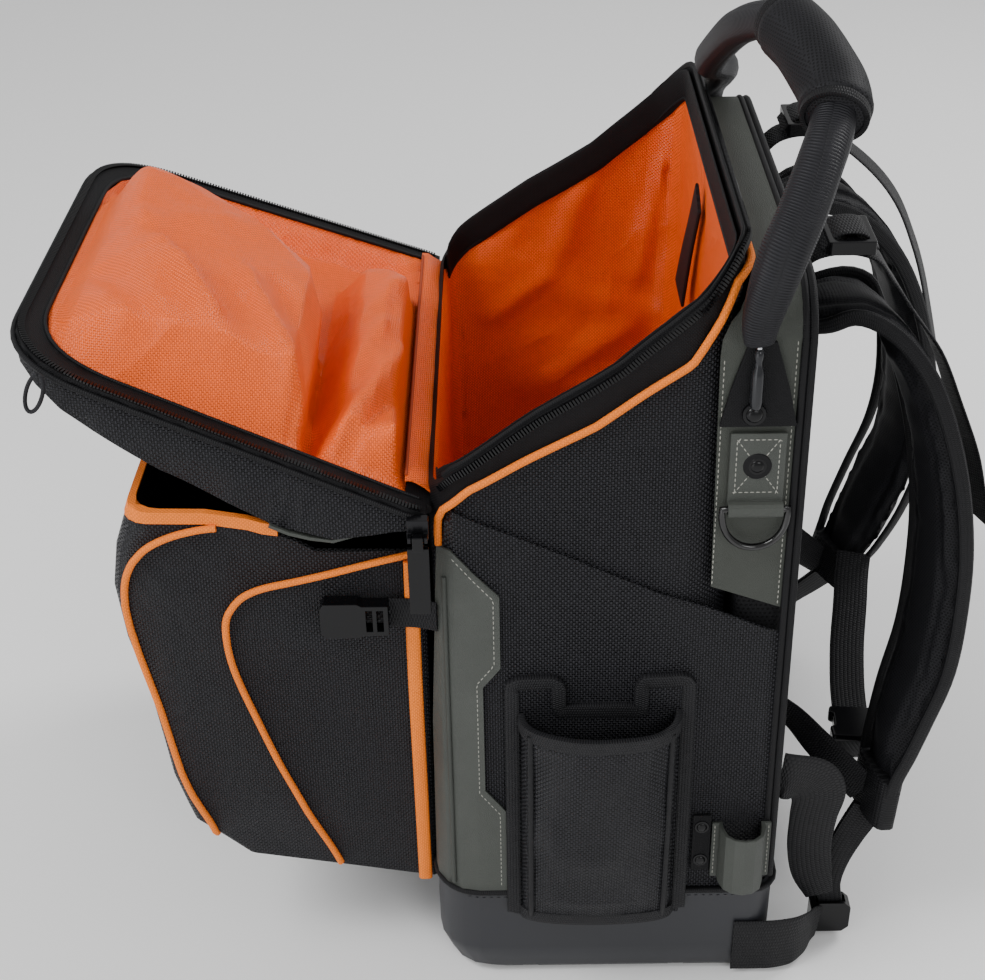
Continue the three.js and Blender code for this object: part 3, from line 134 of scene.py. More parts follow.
def heading(points, i, closed=False):
    """The way a line runs at one of its points."""
    last = len(points) - 1
    ahead = Vector(points[(i + 1) % len(points) if closed else min(i + 1, last)])
    behind = Vector(points[i - 1 if closed else max(i - 1, 0)])
    return (ahead - behind).normalized()


def square_to(tangent, across):
    """A width's way made square to a line, and the way through both."""
    across = Vector(across)
    across = (across - tangent * across.dot(tangent)).normalized()
    return across, tangent.cross(across)


def half_width_at(z):
    return PACK_WIDTH / 2 - SIDE_SLOPE * max(0, z - BASE_HEIGHT)


# Node groups and materials.
def srgb(red, green, blue):
    def linear(value):
        value /= 255
        return value / 12.92 if value <= 0.04045 else ((value + 0.055) / 1.055) ** 2.4
    return (linear(red), linear(green), linear(blue), 1)


class Wiring:
    """Adds nodes to a tree and links them."""

    def __init__(self, tree):
        self.tree = tree

    def put(self, socket, value):
        if isinstance(value, bpy.types.NodeSocket):
            self.tree.links.new(value, socket)
        else:
            socket.default_value = value

    def add(self, kind, values=None, **settings):
        node = self.tree.nodes.new(kind)
        for key, value in settings.items():
            setattr(node, key, value)
        for key, value in (values or {}).items():
            self.put(node.inputs[key], value)
        return node

    def math(self, operation, *values):
        node = self.add("ShaderNodeMath", dict(enumerate(values)), operation=operation)
        return node.outputs[0]

    def times(self, *values):
        return self.math("MULTIPLY", *values)

    def plus(self, *values):
        return self.math("ADD", *values)

    def ridges(self, value):
        """Rounded ridges a unit apart."""
        return self.math("ABSOLUTE", self.math("SINE", self.times(value, math.pi)))

    def mix(self, share, low, high):
        values = {0: share, 6: low, 7: high}
        return self.add("ShaderNodeMix", values, data_type="RGBA").outputs[2]

    def spread(self, value, low, high, to_low, to_high):
        values = {0: value, 1: low, 2: high, 3: to_low, 4: to_high}
        return self.add("ShaderNodeMapRange", values).outputs[0]

    def noise(self, place, scale, detail=2.0, rough=0.5, distortion=0.0):
        values = {"Vector": place, "Scale": scale, "Detail": detail,
                  "Roughness": rough, "Distortion": distortion}
        return self.add("ShaderNodeTexNoise", values).outputs[0]

    def split(self, vector):
        return self.add("ShaderNodeSeparateXYZ", {0: vector}).outputs


def new_group(title, vectors, floats, outputs, build):
    """A node group whose outputs are what build makes of its inputs."""
    tree = bpy.data.node_groups.new(title, "ShaderNodeTree")
    sockets = ((vectors, "Vector", "INPUT"), (floats, "Float", "INPUT"), (outputs, "Float", "OUTPUT"))
    for names, kind, way in sockets:
        for name in names.split():
            tree.interface.new_socket(name, in_out=way, socket_type="NodeSocket" + kind)
    wires = Wiring(tree)
    given = wires.add("NodeGroupInput").outputs
    result = wires.add("NodeGroupOutput").inputs
    inputs = [given[name] for name in (vectors + " " + floats).split()]
    for name, value in zip(outputs.split(), build(wires, *inputs)):
        wires.put(result[name], value)
    return tree


def facing_shares(wires, facing):
    """How much a surface faces each axis, as three shares that sum to one."""
    powers = [wires.math("POWER", wires.math("ABSOLUTE", part), 8.0)
              for part in wires.split(facing)]
    total = wires.plus(wires.plus(powers[0], powers[1]), powers[2])
    return [wires.math("DIVIDE", power, total) for power in powers]


def plain_weave(wires, u, v):
    """One over-and-under weave of threads a unit apart: its height, and where warp lies on top."""
    crossing = wires.plus(wires.math("FLOOR", u), wires.math("FLOOR", v))
    over = wires.math("PINGPONG", crossing, 1.0)
    warp, weft = wires.ridges(u), wires.ridges(v)
    under = wires.math("SUBTRACT", 1.0, over)
    return wires.plus(wires.times(over, warp), wires.times(under, weft)), over


def layers_along(wires, place, facing, size, layer):
    """Sums a flat pattern over the three axes, each by how much the surface faces it."""
    parts = [wires.math("DIVIDE", part, size) for part in wires.split(place)]
    total = None
    for axis, share in enumerate(facing_shares(wires, facing)):
        u, v = [part for i, part in enumerate(parts) if i != axis]
        made = [wires.times(part, share) for part in layer(wires, u, v)]
        total = made if total is None else [wires.plus(*pair) for pair in zip(total, made)]
    return total


def weave(wires, place, facing, thread):
    height, warp = layers_along(wires, place, facing, thread, plain_weave)
    mottle = wires.noise(place, 260.0, 3.0, 0.6)
    # Painted highlight and painted shade: the thread crowns come out lighter, most where the warp
    # lies on top, and the gaps between threads darker; the mottle is random tone in the cloth.
    painted_thread_light = wires.times(height, wires.math("MULTIPLY_ADD", warp, 0.7, 0.3))
    shade = wires.plus(painted_thread_light, wires.times(mottle, 0.5))
    return height, wires.spread(shade, 0.3, 1.1, 0.0, 1.0)


def crumple(wires, place, scale):
    broad = wires.noise(place, scale, 3.0, 0.5, 0.7)
    ridge = wires.math("ABSOLUTE", wires.math("SUBTRACT", broad, 0.5))
    return [wires.spread(ridge, 0.0, 0.22, 1.0, 0.0)]


def leather_grain(wires, place, scale):
    values = {"Vector": place, "Scale": scale, "Randomness": 1.0}
    cells = wires.add("ShaderNodeTexVoronoi", values, feature="DISTANCE_TO_EDGE").outputs[0]
    pebbles = wires.spread(cells, 0.0, 0.18, 0.0, 1.0)
    fine = wires.noise(place, wires.times(scale, 2.5), 3.0, 0.6)
    height = wires.plus(pebbles, wires.times(fine, 0.6))
    return height, wires.noise(place, wires.times(scale, 0.05), 4.0, 0.6)


def dust_cloud(wires, place, scale, amount):
    cloud = wires.noise(place, scale, 6.0, 0.65, 0.4)
    return [wires.times(wires.spread(cloud, 0.45, 0.75, 0.0, 1.0), amount)]


def webbing(wires, place, pitch, column):
    """Follows the strap: place runs across and along it."""
    across, along, _ = wires.split(place)
    rows = wires.math("DIVIDE", along, pitch)
    columns = wires.math("DIVIDE", across, column)
    step = wires.math("PINGPONG", wires.math("FLOOR", columns), 1.0)
    ribs = wires.ridges(wires.plus(rows, wires.times(step, 0.5)))
    height = wires.times(wires.math("POWER", wires.ridges(columns), 0.5), ribs)
    mottle = wires.times(wires.noise(place, 90.0, 3.0), 0.5)
    # The Shade output is lighter on the rib crowns, a painted highlight, with random mottle added.
    return height, wires.plus(wires.times(height, 0.6), mottle)


def knit(wires, u, v):
    """Knitted cells a unit apart, every second row shifted by half a cell."""
    row = wires.math("PINGPONG", wires.math("FLOOR", v), 1.0)
    shifted = wires.plus(u, wires.times(row, 0.5))
    return [wires.times(wires.ridges(shifted), wires.ridges(v))]


def spacer_mesh(wires, place, facing, size):
    height = layers_along(wires, place, facing, size, knit)[0]
    # The Holes mask marks the mesh's openings, which the finish paints dark as painted shade.
    holes = wires.spread(height, 0.55, 0.8, 0.0, 1.0)
    return wires.math("SUBTRACT", 1.0, holes), holes


WEAVE = new_group("Weave", "Place Facing", "Thread", "Height Shade", weave)
CRUMPLE = new_group("Crumple", "Place", "Scale", "Height", crumple)
LEATHER = new_group("Leather grain", "Place", "Scale", "Height Shade", leather_grain)
DUST = new_group("Dust", "Place", "Scale Amount", "Mask", dust_cloud)
WEBBING = new_group("Webbing", "Place", "Pitch Column", "Height Shade", webbing)
SPACER = new_group("Spacer mesh", "Place Facing", "Size", "Height Holes", spacer_mesh)


class Finish:
    """A material under construction: its shader, and where it reads its place from."""

    def __init__(self, name, colour, roughness, attribute=None, **plain):
        self.material = bpy.data.materials.new(name)
        self.material.use_nodes = True
        self.wires = Wiring(self.material.node_tree)
        self.shader = self.material.node_tree.nodes["Principled BSDF"]
        self.shader.inputs["Base Color"].default_value = colour
        self.shader.inputs["Roughness"].default_value = roughness
        for key, value in plain.items():
            self.shader.inputs[key.replace("_", " ")].default_value = value
        coordinates = self.wires.add("ShaderNodeTexCoord").outputs
        self.place = coordinates["Object"]
        self.facing = coordinates["Normal"]
        self.colour = colour
        self.normal = None
        if attribute:
            self.along = self.wires.add(
                "ShaderNodeAttribute", attribute_name=attribute
            ).outputs["Vector"]

    def group(self, tree, **values):
        node = self.wires.tree.nodes.new("ShaderNodeGroup")
        node.node_tree = tree
        for key, value in values.items():
            self.wires.put(node.inputs[key], value)
        return node.outputs

    def bump(self, height, distance, strength=1.0):
        values = {"Height": height, "Distance": distance, "Strength": strength}
        if self.normal is not None:
            values["Normal"] = self.normal
        self.normal = self.wires.add("ShaderNodeBump", values).outputs[0]
        self.wires.put(self.shader.inputs["Normal"], self.normal)

    def tint(self, mask, colour):
        self.colour = self.wires.mix(mask, self.colour, colour)
        self.wires.put(self.shader.inputs["Base Color"], self.colour)

    def dusty(self, scale, amount, colour):
        mask = self.group(DUST, Place=self.place, Scale=scale, Amount=amount)["Mask"]
        self.tint(mask, colour)
        return mask

    def roughen(self, mask, low, high):
        self.wires.put(self.shader.inputs["Roughness"], self.wires.spread(mask, 0, 1, low, high))


def darker(colour, share):
    return tuple(part * share for part in colour[:3]) + (1,)


def woven(name, colour, thread, depth, roughness, crumple, gloss, spread=0.6, dust=0.1):
    # The cloth's colour runs from dark in the weave's gaps to light on its thread crowns: painted
    # shade and painted highlight on the threads, with random mottle.
    made = Finish(name, darker(colour, 1 - spread), roughness, Specular_IOR_Level=gloss)
    cloth = made.group(WEAVE, Place=made.place, Facing=made.facing, Thread=thread)
    made.tint(cloth["Shade"], darker(colour, 1 + 1.7 * spread))
    folds = made.group(CRUMPLE, Place=made.place, Scale=9.0)
    made.dusty(24.0, dust, darker(colour, 1.9))
    made.bump(folds["Height"], crumple)
    made.bump(cloth["Height"], depth)
    made.roughen(cloth["Shade"], roughness - 0.08, roughness + 0.1)
    return made.material


def leather(name, colour, roughness):
    made = Finish(name, darker(colour, 0.82), roughness, Specular_IOR_Level=0.3)
    grain = made.group(LEATHER, Place=made.place, Scale=900.0)
    made.tint(grain["Shade"], darker(colour, 1.2))
    haze = made.dusty(18.0, 0.15, darker(colour, 1.7))
    made.bump(grain["Height"], 0.00012)
    made.roughen(haze, roughness, roughness + 0.9)
    return made.material


def ribbed(name, colour, pitch, depth, roughness, column=1.6):
    made = Finish(name, darker(colour, 0.5), roughness, "place", Specular_IOR_Level=0.2)
    rows = made.group(WEBBING, Place=made.along, Pitch=pitch, Column=pitch * column)
    # The webbing is tinted light on its rib crowns and dark in the grooves: painted highlight and
    # painted shade, with random mottle.
    made.tint(rows["Shade"], darker(colour, 1.8))
    made.dusty(30.0, 0.1, darker(colour, 2.2))
    made.bump(rows["Height"], depth)
    return made.material


def knitted(name, colour, size, depth, roughness):
    made = Finish(name, colour, roughness, Specular_IOR_Level=0.18)
    cells = made.group(SPACER, Place=made.place, Facing=made.facing, Size=size)
    # The mesh's openings are painted dark: painted shade in the holes.
    made.tint(cells["Holes"], darker(colour, 0.25))
    made.dusty(20.0, 0.14, darker(colour, 2.2))
    made.bump(cells["Height"], depth)
    return made.material


def moulded(name, colour, roughness, grain, dust=0.2, **plain):
    made = Finish(name, colour, roughness, **plain)
    fine = made.wires.noise(made.place, 1600.0, 3.0, 0.6)
    haze = made.dusty(14.0, dust, darker(colour, 1.6))
    made.roughen(haze, roughness, min(1.0, roughness + 0.5))
    made.bump(fine, grain)
    return made.material


BALLISTIC = woven("ballistic_cloth", srgb(27, 27, 30), 1.6 * MM, 0.7 * MM, 0.42, 1.4 * MM, 0.2,
                  spread=0.88)
LINING = woven("orange_cloth", srgb(240, 96, 20), 1.2 * MM, 0.3 * MM, 0.4, 2.4 * MM, 0.45,
               spread=0.2, dust=0.0)
TRIM = woven("orange_tape", srgb(243, 126, 38), 1.2 * MM, 0.2 * MM, 0.6, 0.1 * MM, 0.2,
             spread=0.14, dust=0.05)
FACING = woven("black_tape", srgb(15, 15, 17), 0.9 * MM, 0.2 * MM, 0.65, 0.3 * MM, 0.2)
PATCH = leather("grey_leather", srgb(66, 69, 65), 0.48)
YOKE = leather("dark_grey_leather", srgb(58, 61, 56), 0.48)
BASE = moulded("moulded_base", srgb(37, 38, 42), 0.44, 0.05 * MM, Specular_IOR_Level=0.4)
STRAP = ribbed("black_webbing", srgb(20, 20, 22), 1.8 * MM, 0.5 * MM, 0.55)
BINDING = ribbed("black_binding", srgb(17, 17, 19), 1.3 * MM, 0.3 * MM, 0.55)
HOLSTER_TAPE = ribbed("holster_binding", srgb(27, 27, 29), 1.5 * MM, 0.45 * MM, 0.5, column=1.2)
ROPE = ribbed("rolled_webbing", srgb(30, 30, 33), 1.5 * MM, 0.5 * MM, 0.5, column=7)
MESH = knitted("air_mesh", srgb(20, 20, 22), 2.8 * MM, 0.6 * MM, 0.7)
FINE_MESH = knitted("fine_mesh", srgb(27, 27, 30), 1.8 * MM, 0.4 * MM, 0.6)
GLOSS = moulded("buckle_plastic", srgb(10, 10, 12), 0.2, 0.01 * MM, dust=0.1,
                Specular_IOR_Level=0.26)
ZIP_METAL = moulded("black_metal", srgb(24, 24, 27), 0.25, 0.01 * MM, Metallic=0.6)
STEEL = moulded("bright_steel", srgb(196, 198, 202), 0.24, 0.01 * MM, Metallic=1.0)
DARK_ORANGE = moulded("orange_thread", srgb(150, 58, 16), 0.7, 0.02 * MM)
PATCH_CORD = leather("grey_leather_cord", srgb(60, 63, 59), 0.5)
RING_METAL = moulded("ring_metal", srgb(9, 9, 10), 0.14, 0.01 * MM, Specular_IOR_Level=0.6)
SMOKE = moulded("smoked_sleeve", srgb(34, 35, 38), 0.12, 0.01 * MM, Metallic=0.3)
PALE_THREAD = moulded("pale_thread", srgb(150, 150, 142), 0.7, 0.02 * MM)
DARK_THREAD = moulded("dark_thread", srgb(56, 56, 60), 0.7, 0.02 * MM)


# Meshes.
def linked(name, data):
    made = bpy.data.objects.new(name, data)
    bpy.context.scene.collection.objects.link(made)
    return made


def merged(node):
    """The node's mesh as one clean shell with large flat faces."""
    bm = bmesh.new()
    bm.from_mesh(NODES[node].data)
    bmesh.ops.remove_doubles(bm, verts=bm.verts, dist=WELD)
    bmesh.ops.dissolve_limit(bm, angle_limit=FLAT_TURN, verts=bm.verts, edges=bm.edges)
    return bm


def densify(bm, step):
    """Cuts the mesh along planes a step apart, in all three directions."""
    for axis in range(3):
        low = min(v.co[axis] for v in bm.verts)
        high = max(v.co[axis] for v in bm.verts)
        count = int((high - low) / (step * MM))
        normal = Vector([1.0 if i == axis else 0.0 for i in range(3)])
        for k in range(1, count + 1):
            level = low + (high - low) * k / (count + 1)
            crossed = [
                f for f in bm.faces
                if min(v.co[axis] for v in f.verts) < level - LEVEL_SLACK
                and max(v.co[axis] for v in f.verts) > level + LEVEL_SLACK
            ]
            if not crossed:
                continue
            edges = {e for f in crossed for e in f.edges}
            verts = {v for f in crossed for v in f.verts}
            bmesh.ops.bisect_plane(
                bm, geom=[*verts, *edges, *crossed], dist=LEVEL_SLACK,
                plane_co=normal * level, plane_no=normal,
            )


def finished(bm, name, material, body="pack", slot=None, replaces=(), sharp=42):
    """Makes a piece of a mesh: in place, on its body, with its finish."""
    mesh = bpy.data.meshes.new(name)
    bm.to_mesh(mesh)
    bm.free()
    mesh.shade_smooth()
    mesh.set_sharp_from_angle(angle=math.radians(sharp))
    mesh.materials.append(material)
    piece = linked(name, mesh)
    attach(piece, body)
    if replaces:
        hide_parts(*replaces)
    return piece


def dressed(name, node, material, field, step):
    """A node's own shape, cut fine and moved by a field, which then stands for the node."""
    bm = merged(node)
    densify(bm, step)
    if field:
        for v in bm.verts:
            v.co += field(v.co)
    return finished(bm, name, material, replaces=[node])


def keep_node(node, material, bevel, segments=2):
    """A node whose shape is right keeps its mesh, with softer edges and its finish."""
    piece = NODES[node]
    for place in piece.material_slots:
        place.material = material
    weld = piece.modifiers.new("Weld", "WELD")
    weld.merge_threshold = WELD
    rounding = piece.modifiers.new("Bevel", "BEVEL")
    rounding.width = bevel * MM
    rounding.segments = segments
    rounding.limit_method = "ANGLE"
    rounding.angle_limit = BEVEL_TURN


def ring_of(count, power=1.0):
    """A round or squarish outline of points from -1 to 1."""
    made = []
    for k in range(count):
        angle = (k + 0.5) / count * math.tau
        c, s = math.cos(angle), math.sin(angle)
        made.append((
            math.copysign(abs(c) ** power, c),
            math.copysign(abs(s) ** power, s),
        ))
    return made


FLAT = [(-1, -0.35), (-0.94, -0.9), (-0.5, -1), (0, -1), (0.5, -1), (0.94, -0.9), (1, -0.35),
        (1, 0.35), (0.94, 0.9), (0.5, 1), (0, 1), (-0.5, 1), (-0.94, 0.9), (-1, 0.35)]
ROUND = ring_of(12)


def sweep(rows, outline=FLAT, closed=False):
    """Carries an outline along rows, and keeps how far across and along it each point lies."""
    bm = bmesh.new()
    place = bm.verts.layers.float_vector.new("place")
    points = [Vector(row.at) * MM for row in rows]
    along = 0.0
    before = first = None
    for i, row in enumerate(rows):
        across, through = square_to(heading(points, i, closed), row.across)
        if i:
            along += (points[i] - points[i - 1]).length
        ring = []
        for a, t in outline:
            offset = a * row.width / 2 * MM
            depth = t * row.thick / 2 * MM
            v = bm.verts.new(points[i] + across * offset + through * depth)
            v[place] = (offset, along, depth)
            ring.append(v)
        edges = [bm.edges.new((ring[k], ring[(k + 1) % len(ring)])) for k in range(len(ring))]
        if before:
            bmesh.ops.bridge_loops(bm, edges=before + edges)
        elif not closed:
            bmesh.ops.contextual_create(bm, geom=edges)
        first = first or edges
        before = edges
    if closed:
        bmesh.ops.bridge_loops(bm, edges=before + first)
    else:
        bmesh.ops.contextual_create(bm, geom=before)
    bmesh.ops.recalc_face_normals(bm, faces=bm.faces)
    return bm


def strip(name, line, size, way, material, outline=FLAT, closed=False, **where):
    """A strip of one width and thickness along a line of points."""
    rows = [Row(point, *size, way) for point in line]
    return finished(sweep(rows, outline, closed), name, material, **where)


def frames_of(rows):
    """Middle, across, through and half the width at each row, in mm."""
    line = [row.at for row in rows]
    made = []
    for i, row in enumerate(rows):
        across, through = square_to(heading(line, i), row.across)
        made.append((Vector(row.at), across, through, row.width / 2))
    return made


def spun(bm, profile, steps):
    """Spins a profile of radius and height pairs in mm about the Z axis."""
    verts = [bm.verts.new((radius * MM, 0, height * MM)) for radius, height in profile]
    edges = [bm.edges.new(pair) for pair in zip(verts, verts[1:])]
    bmesh.ops.spin(
        bm, geom=verts + edges, cent=(0, 0, 0), axis=(0, 0, 1), angle=math.tau,
        steps=steps, use_merge=True, use_duplicate=False,
    )


def tape(name, table, steps, way=None, thick=1.8, **where):
    """A strap along a table of x, y, z and width, and the way its width runs if that turns."""
    rows = [Row(r[:3], r[3], thick, way or r[4:]) for r in smooth_table(table, steps)]
    return finished(sweep(rows), name, STRAP, **where)


def cordline(name, line, radius, material, closed=False, **where):
    """A round cord or piping through points."""
    rows = []
    for i, point in enumerate(line):
        upright = abs(heading(line, i).z) >= UPRIGHT
        rows.append(Row(point, 2 * radius, 2 * radius, (1, 0, 0) if upright else (0, 0, 1)))
    return finished(sweep(rows, ring_of(10), closed), name, material, sharp=80, **where)


def binding(name, line, radius, **more):
    """A black bound edge or seam."""
    return cordline(name, line, radius, BINDING, **more)


# Lines laid on finished surfaces, for seams, stitches, teeth and rivets.
RAY_REACH = 60
STITCH_SIZE = (2.7, 0.75, 0.55)
SHORTEST_STITCH_GAP = 1e-7
LONGEST_STITCH_GAP = 0.012
RIVET_PROFILE = [(0, 1), (0.42, 0.92), (0.66, 0.62), (0.7, 0.4), (0.95, 0.34), (1, 0.1), (1, -0.4)]


def surface_of(*pieces):
    bm = bmesh.new()
    for piece in pieces:
        bm.from_mesh(piece.data)
    tree = BVHTree.FromBMesh(bm)
    bm.free()
    return tree


def laid(tree, points, way, lift=0.0):
    """Drops points in mm along a way onto a surface. Gives place and normal pairs."""
    made = []
    way = Vector(way).normalized()
    for point in points:
        start = (Vector(point) - way * RAY_REACH) * MM
        hit, normal, _, _ = tree.ray_cast(start, way, 2 * RAY_REACH * MM)
        if hit is not None:
            if normal.dot(way) > 0:
                normal = -normal
            made.append((hit + normal * lift * MM, normal))
    return made


def spaced(points, pitch):
    """Points a pitch apart along a line of points, in mm."""
    made = []
    left = 0.0
    for a, b in zip(points, points[1:]):
        a, b = Vector(a), Vector(b)
        length = (b - a).length
        place = left
        while place < length:
            made.append(a.lerp(b, place / length))
            place += pitch
        left = place - length
    return made


def seated(place, normal, tangent):
    """A matrix whose Z is the normal and whose X runs along the tangent."""
    across = normal.cross(tangent).normalized()
    along = across.cross(normal).normalized()
    turn = Matrix((along, across, normal)).transposed().to_4x4()
    return Matrix.Translation(place) @ turn


def stitch_row(bm, spots):
    for i, (place, normal) in enumerate(spots):
        other = spots[i + 1][0] if i + 1 < len(spots) else spots[i - 1][0]
        tangent = other - place
        if not SHORTEST_STITCH_GAP < tangent.length < LONGEST_STITCH_GAP:
            continue
        size = Matrix.Diagonal([part * MM / 2 for part in STITCH_SIZE] + [1])
        matrix = seated(place, normal, tangent) @ size
        bmesh.ops.create_icosphere(bm, subdivisions=1, radius=1, matrix=matrix)


def stitches(name, tree, lines, way, pitch):
    bm = bmesh.new()
    for line in lines:
        stitch_row(bm, laid(tree, spaced(line, pitch), way))
    return finished(bm, name, PALE_THREAD, slot="grey_leather", sharp=80)


def rivet(name, spots, radius, height=1.6):
    """Domed rivets with a flange, each spun about its own normal."""
    bm = bmesh.new()
    for place, normal in spots:
        spun(bm, [(r * radius, h * height) for r, h in RIVET_PROFILE], 20)
        new = [v for v in bm.verts if not v.tag]
        bmesh.ops.transform(bm, matrix=seated(place, normal, normal.orthogonal()), verts=new)
        for v in bm.verts:
            v.tag = True
    bmesh.ops.remove_doubles(bm, verts=bm.verts, dist=SPIN_WELD)
    bmesh.ops.recalc_face_normals(bm, faces=bm.faces)
    return finished(bm, name, GLOSS, slot="black_metal", sharp=50)


# Padding that is blown up by the cloth simulation.
PAD_SHRINK = 1.6
PAD_PRESSURE = 3.0
PAD_FRAMES = 20


def filled(node, name, material, voxel, cap, shape):
    """A padded node blown up a little by simulation, then kept as a plain mesh."""
    bm = merged(node)
    bmesh.ops.recalc_face_normals(bm, faces=bm.faces)
    start = bpy.data.meshes.new(name + "_start")
    bm.to_mesh(start)
    bm.free()
    worker = linked(name + "_start", start)
    remesh = worker.modifiers.new("Remesh", "REMESH")
    remesh.mode = "VOXEL"
    remesh.voxel_size = voxel * MM
    bpy.context.view_layer.update()
    graph = bpy.context.evaluated_depsgraph_get()
    even = bpy.data.meshes.new_from_object(worker.evaluated_get(graph))
    worker.modifiers.clear()
    worker.data = even
    for v in even.vertices:
        v.co -= v.normal * PAD_SHRINK * MM
    first = [v.co.copy() for v in even.vertices]
    cloth = worker.modifiers.new("Cloth", "CLOTH")
    cloth.settings.use_pressure = True
    cloth.settings.uniform_pressure_force = PAD_PRESSURE
    cloth.settings.effector_weights.gravity = 0
    cloth.point_cache.frame_end = PAD_FRAMES
    for number in range(1, PAD_FRAMES + 1):
        bpy.context.scene.frame_set(number)
    graph = bpy.context.evaluated_depsgraph_get()
    blown = worker.evaluated_get(graph).data
    moved = [v.co.copy() for v in blown.vertices]
    worker.modifiers.clear()
    bpy.context.scene.frame_set(1)
    for v, place, rest in zip(even.vertices, moved, first):
        step = place - rest
        if step.length > cap * MM:
            step = step.normalized() * cap * MM
        v.co = rest + step
    bm = bmesh.new()
    bm.from_mesh(even)
    bpy.data.objects.remove(worker)
    bmesh.ops.subdivide_edges(bm, edges=bm.edges, cuts=1, use_grid_fill=True, smooth=0.6)
    shape(bm)
    piece = finished(bm, name, material, replaces=[node], sharp=80)
    return piece


# The camera, the light and the floor.
CAMERA_PLACE = (920.75, -59.73, 861.30)
CAMERA_TARGET = (0, -68.0, 256.5)
CAMERA_ROLL = math.radians(-1.11)
CAMERA_LENS = 60.89
WORLD_LIGHT = 0.6
LAMP_TARGET = (0, -0.05, 0.28)
LAMPS = [
    ("key_light", (0.6, -1.4, 2.0), 30, 1.0),
    ("side_light", (1.9, 0.7, 1.3), 10, 0.8),
    ("rim_light", (-0.9, 1.5, 1.6), 22, 0.8),
    ("low_light", (1.3, -0.9, 0.35), 4, 0.8),
]


def set_stage():
    data = bpy.data.cameras.new("view_from_the_right")
    camera = linked("view_from_the_right", data)
    place = Vector(CAMERA_PLACE) * MM
    away = (place - Vector(CAMERA_TARGET) * MM).normalized()
    right = Vector((0, 0, 1)).cross(away).normalized()
    up = away.cross(right)
    turned = right * math.cos(CAMERA_ROLL) + up * math.sin(CAMERA_ROLL)
    upward = up * math.cos(CAMERA_ROLL) - right * math.sin(CAMERA_ROLL)
    axes = Matrix((turned, upward, away)).transposed().to_4x4()
    camera.matrix_world = Matrix.Translation(place) @ axes
    data.lens = CAMERA_LENS
    data.sensor_width = 36
    data.sensor_fit = "HORIZONTAL"
    bpy.context.scene.camera = camera

    world = bpy.data.worlds.new("studio")
    bpy.context.scene.world = world
    world.use_nodes = True
    background = world.node_tree.nodes["Background"].inputs
    background["Color"].default_value = (1, 1, 1, 1)
    background["Strength"].default_value = WORLD_LIGHT
    for name, spot, power, size in LAMPS:
        lamp = bpy.data.lights.new(name, "AREA")
        lamp.energy = power
        lamp.size = size
        holder = linked(name, lamp)
        holder.location = spot
        aim = Vector(LAMP_TARGET) - Vector(spot)
        holder.rotation_euler = aim.to_track_quat("-Z", "Y").to_euler()

    bm = bmesh.new()
    bmesh.ops.create_grid(bm, x_segments=2, y_segments=2, size=6)
    mesh = bpy.data.meshes.new("floor")
    bm.to_mesh(mesh)
    bm.free()
    mesh.materials.append(moulded("floor_paper", srgb(250, 250, 250), 0.95, 0.02 * MM, dust=0.0))
    linked("floor", mesh)


set_stage()


# The pack's sewn walls move together: a soft bulge on each side, and slow waves at the mouth.
def pack_drape(p):
    x, y, z = p / MM
    side = math.copysign(1, x)
    flank = ease(abs(x), 118, 150)
    deep = ease(y, -100, -55) * (1 - ease(y, 22, 60))
    tall = ease(z, 84, 135) * (1 - ease(z, 296, 345))
    puff = flank * deep * tall
    wave = ripple(y * 0.013, z * 0.016, side * 3.7)
    small = ripple(y * 0.035 + 5, z * 0.03, side * 9.1)
    out = side * puff * (2.6 + 2.4 * wave + 1.2 * small)
    rim = flank * between(y, -85, 45, 20) * ease(z, 320, 365)
    out += side * rim * 1.8 * ripple(y * 0.03, 4.2, side)
    return Vector((out, 0, 0)) * MM


# Folds in the lining. Columns: y, z, y, z of the fold's ends, how far it stands in, its width.
LINING_FOLDS = [
    (-82, 380, 64, 297, 3.5, 5),
    (-78, 372, 10, 322, -3.0, 7),
    (-72, 300, -20, 345, 3.5, 7),
    (-30, 250, 40, 300, 4.0, 9),
    (-58, 360, -40, 400, 3.0, 7),
    (-20, 350, 2, 430, 4.5, 9),
    (12, 345, 20, 440, -4.0, 9),
    (36, 330, 52, 430, 4.0, 7),
    (-60, 250, 40, 230, 4.0, 18),
]


def fold_height(u, v, folds):
    total = 0.0
    for u0, v0, u1, v1, height, width in folds:
        along = Vector((u1 - u0, v1 - v0))
        offset = Vector((u - u0, v - v0))
        share = offset.dot(along) / along.length_squared
        away = abs(along.x * offset.y - along.y * offset.x) / along.length
        ends = between(share, 0.0, 1.0, 0.12)
        total += height * ends * bell(away, width)
    return total


def lining_drape(p):
    x, y, z = p / MM
    move = pack_drape(p)
    top = height_on(ZIP_LINE, y)
    free = (1 - ease(z, top - 34, top - 12)) * ease(z, 30, 70)
    side = math.copysign(1, x)
    if abs(x) > half_width_at(z) - 8 and -95 < y < 62:
        inward = max(-0.8, fold_height(y, z, LINING_FOLDS) + 4 * max(0, noise.noise(p * 13)))
        below = ease((380 - z) - (y + 82) * 0.57, 0, 8)
        move.x -= side * free * (inward + 6.0 * below * between(y, -84, 40, 20)) * MM
    elif y > SHELL_BACK - 8:
        inward = 3.0 * max(0, noise.noise(p * 11 + Vector((3, 1, 7))))
        inward += 2.2 * bell((x + 40) - (z - 380) * 0.6, 14)
        move.y -= free * between(abs(x), -1, 130, 14) * inward * MM
    return move


SEAM = [(-0.03, 0.62), (0.035, 0.695), (0.11, 0.727), (0.28, 0.766), (0.45, 0.804),
        (0.69, 0.874), (0.77, 0.928), (0.8, 0.958), (0.84, 0.968)]
ZIP_LINE = [(-0.03, 0.688), (0.015, 0.716), (0.07, 0.744), (0.175, 0.776), (0.305, 0.814),
            (0.515, 0.868), (0.64, 0.912), (0.725, 0.944), (0.78, 0.974), (0.81, 0.992),
            (0.84, 1)]
MOUTH_SIDE_STEPS = 40


